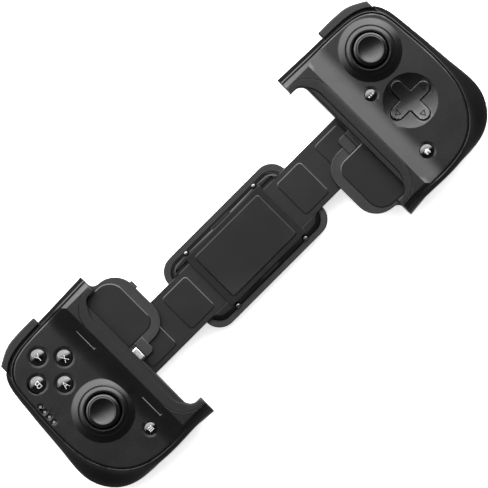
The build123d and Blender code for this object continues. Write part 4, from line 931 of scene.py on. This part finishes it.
# %% Stick caps
BOWL_RADIUS, BOWL_FLOOR, BOWL_TOP = 5.25, 35.3, 36.0
CREST_CENTRE, CREST_RADIUS, CREST_START, CREST_STOP = (6.35, 35.62), 0.78, 140, 12
RIB_TOPS = [(7.46, 35.15), (7.72, 34.65), (7.97, 34.15)]
RIB_POINTS = [(0.22, 0.25), (0, 0.14), (0, -0.14), (0.16, -0.25)]  # inside and above a rib's top
CAP_FOOT = [
    (7.8, 33.75), (7.5, 33.55), (3.8, 32.8), (3.8, 30.3), (2.45, 30.3), (2.45, 33.65), (0, 33.65),
]
CAP_STEPS = 120
bowl_depth = BOWL_TOP - BOWL_FLOOR
bowl_sphere = (BOWL_RADIUS**2 + bowl_depth**2) / (2 * bowl_depth)
bowl_reach = math.degrees(math.asin(BOWL_RADIUS / bowl_sphere))
bowl = arc((0, BOWL_FLOOR + bowl_sphere), bowl_sphere, -90, -90 + bowl_reach, 12)
crest = arc(CREST_CENTRE, CREST_RADIUS, CREST_START, CREST_STOP, 10)
ribs = [
    (radius - inside, height + above)
    for radius, height in RIB_TOPS
    for inside, above in RIB_POINTS
]
cap_profile = bowl + crest + ribs + CAP_FOOT
for side, side_name in SIDES.items():
    shape = turned(cap_profile, stick_spots[side], CAP_STEPS)
    dress(f"{side_name}_thumb_cap", shape, f"{side_name}_stick_cap", sharp=40)

# %% [markdown]
# ## Buttons
# Each round button is a polished dome. Its glyph is printed on the dome: the flat glyph is
# cut into small faces, lifted to the dome's curve and given a hair of thickness.

# %% Round buttons
BUTTON_RISE, SMALL_RISE = 1.1, 0.6
SHOULDER_IN, WALL_IN, SHOULDER_DROP, WALL_DROP = 0.12, 0.03, 0.12, 0.3
FLANGE, FLANGE_TOP, FLANGE_THICK, STEM = 1.0, 23.9, 1.3, 2.3
domes = {}
for node in FACE_BUTTONS + SMALL_BUTTONS:
    centre, bottom, top = node_centre(node)
    low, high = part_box(node)
    radius = (high[0] - low[0]) / 2 / MM - FLANGE
    rise = BUTTON_RISE if node in FACE_BUTTONS else SMALL_RISE
    sphere = (radius**2 + rise**2) / (2 * rise)
    reach = math.degrees(math.asin((radius - SHOULDER_IN) / sphere))
    domes[node] = (centre, top, sphere)
    profile = arc((0, top - sphere), sphere, 90, 90 - reach, 14)
    edge_height = profile[-1][1]
    profile += [(radius - WALL_IN, edge_height - SHOULDER_DROP)]
    profile += [(radius, edge_height - WALL_DROP)]
    profile += [(radius, FLANGE_TOP), (radius + FLANGE, FLANGE_TOP)]
    profile += [(radius + FLANGE, FLANGE_TOP - FLANGE_THICK), (STEM, FLANGE_TOP - FLANGE_THICK)]
    profile += [(STEM, bottom), (0, bottom)]
    dress(f"{node}_dome", turned(profile, centre, 96), node, sharp=40)
    print(node, "dome radius:", round(radius, 2))

# %% [markdown]
# A glyph is drawn flat about the origin, in millimetres. Its long edges are cut in several
# rounds before it is laid on the dome, because a long flat face would sink into the curve.

# %% Helper: print a flat glyph on a dome
GLYPH_LIFT, GLYPH_THICK, GLYPH_EDGE, GLYPH_ROUNDS = 0.02, 0.06, 0.3, 3


def print_on_dome(name, shape, node, offset):
    """Lay a flat glyph, drawn round the origin in millimetres, on a button's dome."""
    centre, top, sphere = domes[node]
    bmesh.ops.triangulate(shape, faces=shape.faces)
    for _ in range(GLYPH_ROUNDS):
        long_edges = [edge for edge in shape.edges if edge.calc_length() > GLYPH_EDGE]
        bmesh.ops.subdivide_edges(shape, edges=long_edges, cuts=1)
        bmesh.ops.triangulate(shape, faces=shape.faces)
    for vertex in shape.verts:
        x, y = vertex.co.x + offset[0], vertex.co.y + offset[1]
        height = top - sphere + math.sqrt(sphere**2 - x * x - y * y) + GLYPH_LIFT
        vertex.co = Vector((centre[0] + x, centre[1] + y, height)) * MM
    turn_up(shape)
    bmesh.ops.solidify(shape, geom=shape.faces, thickness=GLYPH_THICK * MM)
    return dress(name, shape, node, look=FINISH["mark_grey"], replaced=False)


# %% [markdown]
# The letters come from Blender's own typeface, each brought to one height and width. The
# picture is a mirror image, so the one letter that isn't the same both ways is mirrored too.

# %% Letters of the four face buttons
LETTERS = {
    "face_button_1": ("Y", 1),
    "face_button_2": ("B", -1),
    "face_button_3": ("X", 1),
    "face_button_4": ("A", 1),
}
LETTER_HEIGHT, LETTER_WIDTH, LETTER_DROP = 3.5, 2.55, -0.55
LETTER_CURVES, LETTER_THINNING = 4, -0.012


def letter_shape(letter, way):
    """The letter as a flat bmesh in millimetres about the origin, mirrored when way is -1."""
    curve = bpy.data.curves.new(f"letter_{letter}", "FONT")
    curve.body = letter
    curve.resolution_u = LETTER_CURVES
    curve.offset = LETTER_THINNING
    holder = bpy.data.objects.new(f"letter_{letter}", curve)
    mesh = bpy.data.meshes.new_from_object(holder)
    shape = bmesh.new()
    shape.from_mesh(mesh)
    bpy.data.objects.remove(holder)
    bpy.data.meshes.remove(mesh)
    xs = [vertex.co.x for vertex in shape.verts]
    ys = [vertex.co.y for vertex in shape.verts]
    wide, tall = max(xs) - min(xs), max(ys) - min(ys)
    for vertex in shape.verts:
        vertex.co.x = (vertex.co.x - min(xs) - wide / 2) * way * LETTER_WIDTH / wide
        vertex.co.y = (vertex.co.y - min(ys) - tall / 2) * LETTER_HEIGHT / tall
    return shape


for node, (letter, way) in LETTERS.items():
    print_on_dome(f"{node}_letter", letter_shape(letter, way), node, (0, LETTER_DROP))

# %% [markdown]
# The three small buttons carry the usual signs: bars for the menu, dots for the view, and a
# house.

# %% Signs of the small buttons
BAR_SIZE, BAR_STEP, DOT_RADIUS, DOT_STEP = (2.5, 0.5), 0.95, 0.42, 1.3
HOUSE_PLATES = [(0.65, 1.3, (-0.72, -0.65)), (0.65, 1.3, (0.72, -0.65)), (2.09, 0.7, (0, 0.2))]
HOUSE_ROOF = [(-1.55, 0.35, 0), (1.55, 0.35, 0), (0, 1.6, 0)]


def add_plate(shape, width, height, centre):
    """A flat rectangle in a glyph."""
    made = bmesh.ops.create_grid(shape, x_segments=1, y_segments=1, size=0.5)
    bmesh.ops.scale(shape, verts=made["verts"], vec=(width, height, 1))
    bmesh.ops.translate(shape, verts=made["verts"], vec=(*centre, 0))


bars = bmesh.new()
for level in (-BAR_STEP, 0, BAR_STEP):
    add_plate(bars, *BAR_SIZE, (0, level))
print_on_dome("menu_bars", bars, "menu_button", (0, -0.25))

dots = bmesh.new()
for place in (-DOT_STEP, 0, DOT_STEP):
    spot = Matrix.Translation((place, 0, 0))
    bmesh.ops.create_circle(dots, cap_ends=True, segments=16, radius=DOT_RADIUS, matrix=spot)
print_on_dome("view_dots", dots, "view_button", (0, -0.2))

house = bmesh.new()
for width, height, place in HOUSE_PLATES:
    add_plate(house, width, height, place)
house.faces.new([house.verts.new(point) for point in HOUSE_ROOF])
print_on_dome("home_house", house, "home_button", (0, -0.35))

# %% [markdown]
# ## Direction pad
# A cross with round ends whose top is hollowed like a shallow dish. The outline is one flat
# face, sliced into strips so that it can follow the dish, then pushed down to give the sides.

# %% Direction pad
PAD_CENTRE = node_centre("direction_pad")[0]
PAD_ARM, PAD_HALF, PAD_BOTTOM = 12.0, 3.3, 23.1
PAD_BOWL_FLOOR, PAD_BOWL = 26.4, 62.0
PAD_EDGE_LEVEL, PAD_ROUND, PAD_STEPS, PAD_TURN = 25, 0.38, 4, 50
INNER_ROUND = 0.5  # round in the corners between the arms
STRIP_SHIFT = 0.03  # keeps the cuts off the corners
STRIP_NEAR = 0.0001


def cross_outline():
    """Corner points of the cross, with round ends and rounded inner corners."""
    points = []
    for quarter in range(4):
        turn = Matrix.Rotation(math.radians(90 * quarter), 2)
        arm = arc((PAD_ARM - PAD_HALF, 0), PAD_HALF, -90, 90, 20)
        inner = PAD_HALF + INNER_ROUND
        arm += arc((inner, inner), INNER_ROUND, 270, 180, 4)
        points += [turn @ Vector(point) for point in arm]
    return points


def pad_level(x, y):
    """Height of the dished top."""
    return PAD_BOWL_FLOOR + PAD_BOWL - math.sqrt(PAD_BOWL**2 - x * x - y * y)


shape = bmesh.new()
corners = [shape.verts.new((*point, 0)) for point in cross_outline()]
shape.faces.new(corners)
for axis in (Vector((1, 0, 0)), Vector((0, 1, 0))):
    for step in range(1 - int(PAD_ARM), int(PAD_ARM)):
        bmesh.ops.bisect_plane(
            shape,
            geom=shape.verts[:] + shape.edges[:] + shape.faces[:],
            plane_co=axis * (step + STRIP_SHIFT),
            plane_no=axis,
            dist=STRIP_NEAR,
        )
if sum(face.normal.z for face in shape.faces) < 0:
    bmesh.ops.reverse_faces(shape, faces=shape.faces)
made = bmesh.ops.extrude_face_region(shape, geom=shape.faces[:])
raised = {item for item in made["geom"] if isinstance(item, bmesh.types.BMVert)}
for vertex in shape.verts:
    top = vertex in raised
    vertex.co.z = pad_level(vertex.co.x, vertex.co.y) if top else PAD_BOTTOM
bmesh.ops.recalc_face_normals(shape, faces=shape.faces)
bmesh.ops.scale(shape, verts=shape.verts, vec=(MM, MM, MM))
bmesh.ops.translate(shape, verts=shape.verts, vec=(PAD_CENTRE[0] * MM, PAD_CENTRE[1] * MM, 0))
count = round_edges(
    shape, lambda edge: middle(edge).z > PAD_EDGE_LEVEL * MM, PAD_ROUND, PAD_STEPS, PAD_TURN
)
dress("direction_pad_cross", shape, "direction_pad", sharp=40)
print("direction pad edges rounded:", count)

# %% [markdown]
# The pad's arrows are open triangles. They are thin frames that lie on the dish.

# %% Arrows of the direction pad
ARROW_PLACE, ARROW_HALF, ARROW_LENGTH, ARROW_LINE = 9.2, 1.7, 2.9, 0.42
ARROW_LIFT, ARROW_THICK, ARROW_EDGE, ARROW_CUTS = 0.05, 0.05, 0.5, 3
for quarter in range(4):
    turn = Matrix.Rotation(math.radians(90 * quarter), 3, "Z")
    shape = bmesh.new()
    base = ARROW_PLACE - ARROW_LENGTH / 2
    tip = base + ARROW_LENGTH
    outer = [Vector(co) for co in ((tip, 0, 0), (base, ARROW_HALF, 0), (base, -ARROW_HALF, 0))]
    slant = math.hypot(ARROW_LENGTH, ARROW_HALF)
    inside = ARROW_HALF * ARROW_LENGTH / (ARROW_HALF + slant)
    heart = Vector((base + inside, 0, 0))
    rings = [
        [shape.verts.new(heart + (corner - heart) * share) for corner in outer]
        for share in (1, 1 - ARROW_LINE / inside)
    ]
    for start in range(3):
        end = (start + 1) % 3
        shape.faces.new((rings[0][start], rings[0][end], rings[1][end], rings[1][start]))
    long_edges = [edge for edge in shape.edges if edge.calc_length() > ARROW_EDGE]
    bmesh.ops.subdivide_edges(shape, edges=long_edges, cuts=ARROW_CUTS, use_grid_fill=True)
    for vertex in shape.verts:
        place = turn @ vertex.co
        level = pad_level(place.x, place.y) + ARROW_LIFT
        vertex.co = Vector((PAD_CENTRE[0] + place.x, PAD_CENTRE[1] + place.y, level)) * MM
    turn_up(shape)
    bmesh.ops.solidify(shape, geom=shape.faces, thickness=ARROW_THICK * MM)
    bmesh.ops.recalc_face_normals(shape, faces=shape.faces)
    name = f"direction_arrow_{quarter + 1}"
    dress(name, shape, "direction_pad", look=FINISH["dark_print_and_shade"], replaced=False)

# %% [markdown]
# ## Screws
# The bridge's cover is held by four small domed screws with a hexagonal socket. The middle of
# the turned head is pushed in, and its ring of points is pulled to six sides.

# %% Screws
SCREW_SOCKET, SOCKET_DEPTH, SOCKET_LIP, SOCKET_ROUND = 0.42, 0.7, 0.06, 0.12
SOCKET_NEAR, SOCKET_SPREAD, SOCKET_LEVELS = 0.01, 1.02, 1.3  # which points are pulled
HEAD, HEAD_SEAT, HEAD_RISE, HEAD_WALL, SHANK = 1.5, 12.5, 1.1, 0.1, 0.85
HEAD_START, HEAD_STOP, SCREW_STEPS = 72, 25, 48


def hex_radius(angle, across):
    """Distance to the side of a hexagon at an angle."""
    part = (angle + math.pi / 6) % (math.pi / 3) - math.pi / 6
    return across / math.cos(part)


def screw(profile, centre, socket, flat_level):
    """A turned screw whose socket points are pulled to a hexagon."""
    shape = turned(profile, centre, SCREW_STEPS)
    for vertex in shape.verts:
        x, y = vertex.co.x / MM - centre[0], vertex.co.y / MM - centre[1]
        radius = math.hypot(x, y)
        at_socket = abs(vertex.co.z / MM - flat_level) < SOCKET_LEVELS
        if SOCKET_NEAR < radius < socket * SOCKET_SPREAD and at_socket:
            pull = hex_radius(math.atan2(y, x), socket) / radius
            vertex.co.x = (centre[0] + x * pull) * MM
            vertex.co.y = (centre[1] + y * pull) * MM
    return shape


screws_low, screws_high = (Vector(corner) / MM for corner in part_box("bridge_screws"))
head_sphere = (HEAD**2 + HEAD_RISE**2) / (2 * HEAD_RISE)
head_line = arc((0, screws_high.z - head_sphere), head_sphere, HEAD_START, HEAD_STOP, 8)
floor_level = screws_high.z - SOCKET_DEPTH
profile = [(0, floor_level), (SCREW_SOCKET, floor_level)]
profile += [(SCREW_SOCKET, screws_high.z - SOCKET_LIP)]
profile += [point for point in head_line if SCREW_SOCKET + SOCKET_ROUND < point[0] <= HEAD]
profile += [(HEAD, HEAD_SEAT + HEAD_WALL), (HEAD, HEAD_SEAT), (SHANK, HEAD_SEAT)]
profile += [(SHANK, screws_low.z), (0, screws_low.z)]
for column, way_x in enumerate((-1, 1), 1):
    for row, way_y in enumerate((-1, 1), 1):
        spot = (way_x * (screws_high.x - HEAD), way_y * (screws_high.y - HEAD))
        name = f"bridge_screw_{column}{row}"
        shape = screw(profile, spot, SCREW_SOCKET, screws_high.z)
        dress(name, shape, "bridge_screws", sharp=40)

# %% [markdown]
# ## Floor
# A plain pale table that the back of each grip rests on. It glows a little, so that it stays
# white as in the picture, and the plastic doesn't mirror it.

# %% Floor
FLOOR_HALF = 4.0  # metres
FLOOR_GREY, FLOOR_ROUGH, FLOOR_GLOW = 0.93, 0.9, 0.7
floor_shape = bmesh.new()
bmesh.ops.create_grid(floor_shape, x_segments=2, y_segments=2, size=FLOOR_HALF)
floor_mesh = bpy.data.meshes.new("pale_table")
floor_shape.to_mesh(floor_mesh)
floor_shape.free()
floor_look = bpy.data.materials.new("pale_table")
floor_look.use_nodes = True
floor_shader = floor_look.node_tree.nodes["Principled BSDF"]
floor_shader.inputs["Base Color"].default_value = (FLOOR_GREY, FLOOR_GREY, FLOOR_GREY, 1)
floor_shader.inputs["Roughness"].default_value = FLOOR_ROUGH
floor_shader.inputs["Specular IOR Level"].default_value = 0.0
floor_shader.inputs["Emission Color"].default_value = (1, 1, 1, 1)
floor_shader.inputs["Emission Strength"].default_value = FLOOR_GLOW
floor_mesh.materials.append(floor_look)
floor = bpy.data.objects.new("pale_table", floor_mesh)
floor.visible_glossy = False
floor.visible_diffuse = False
bpy.context.scene.collection.objects.link(floor)
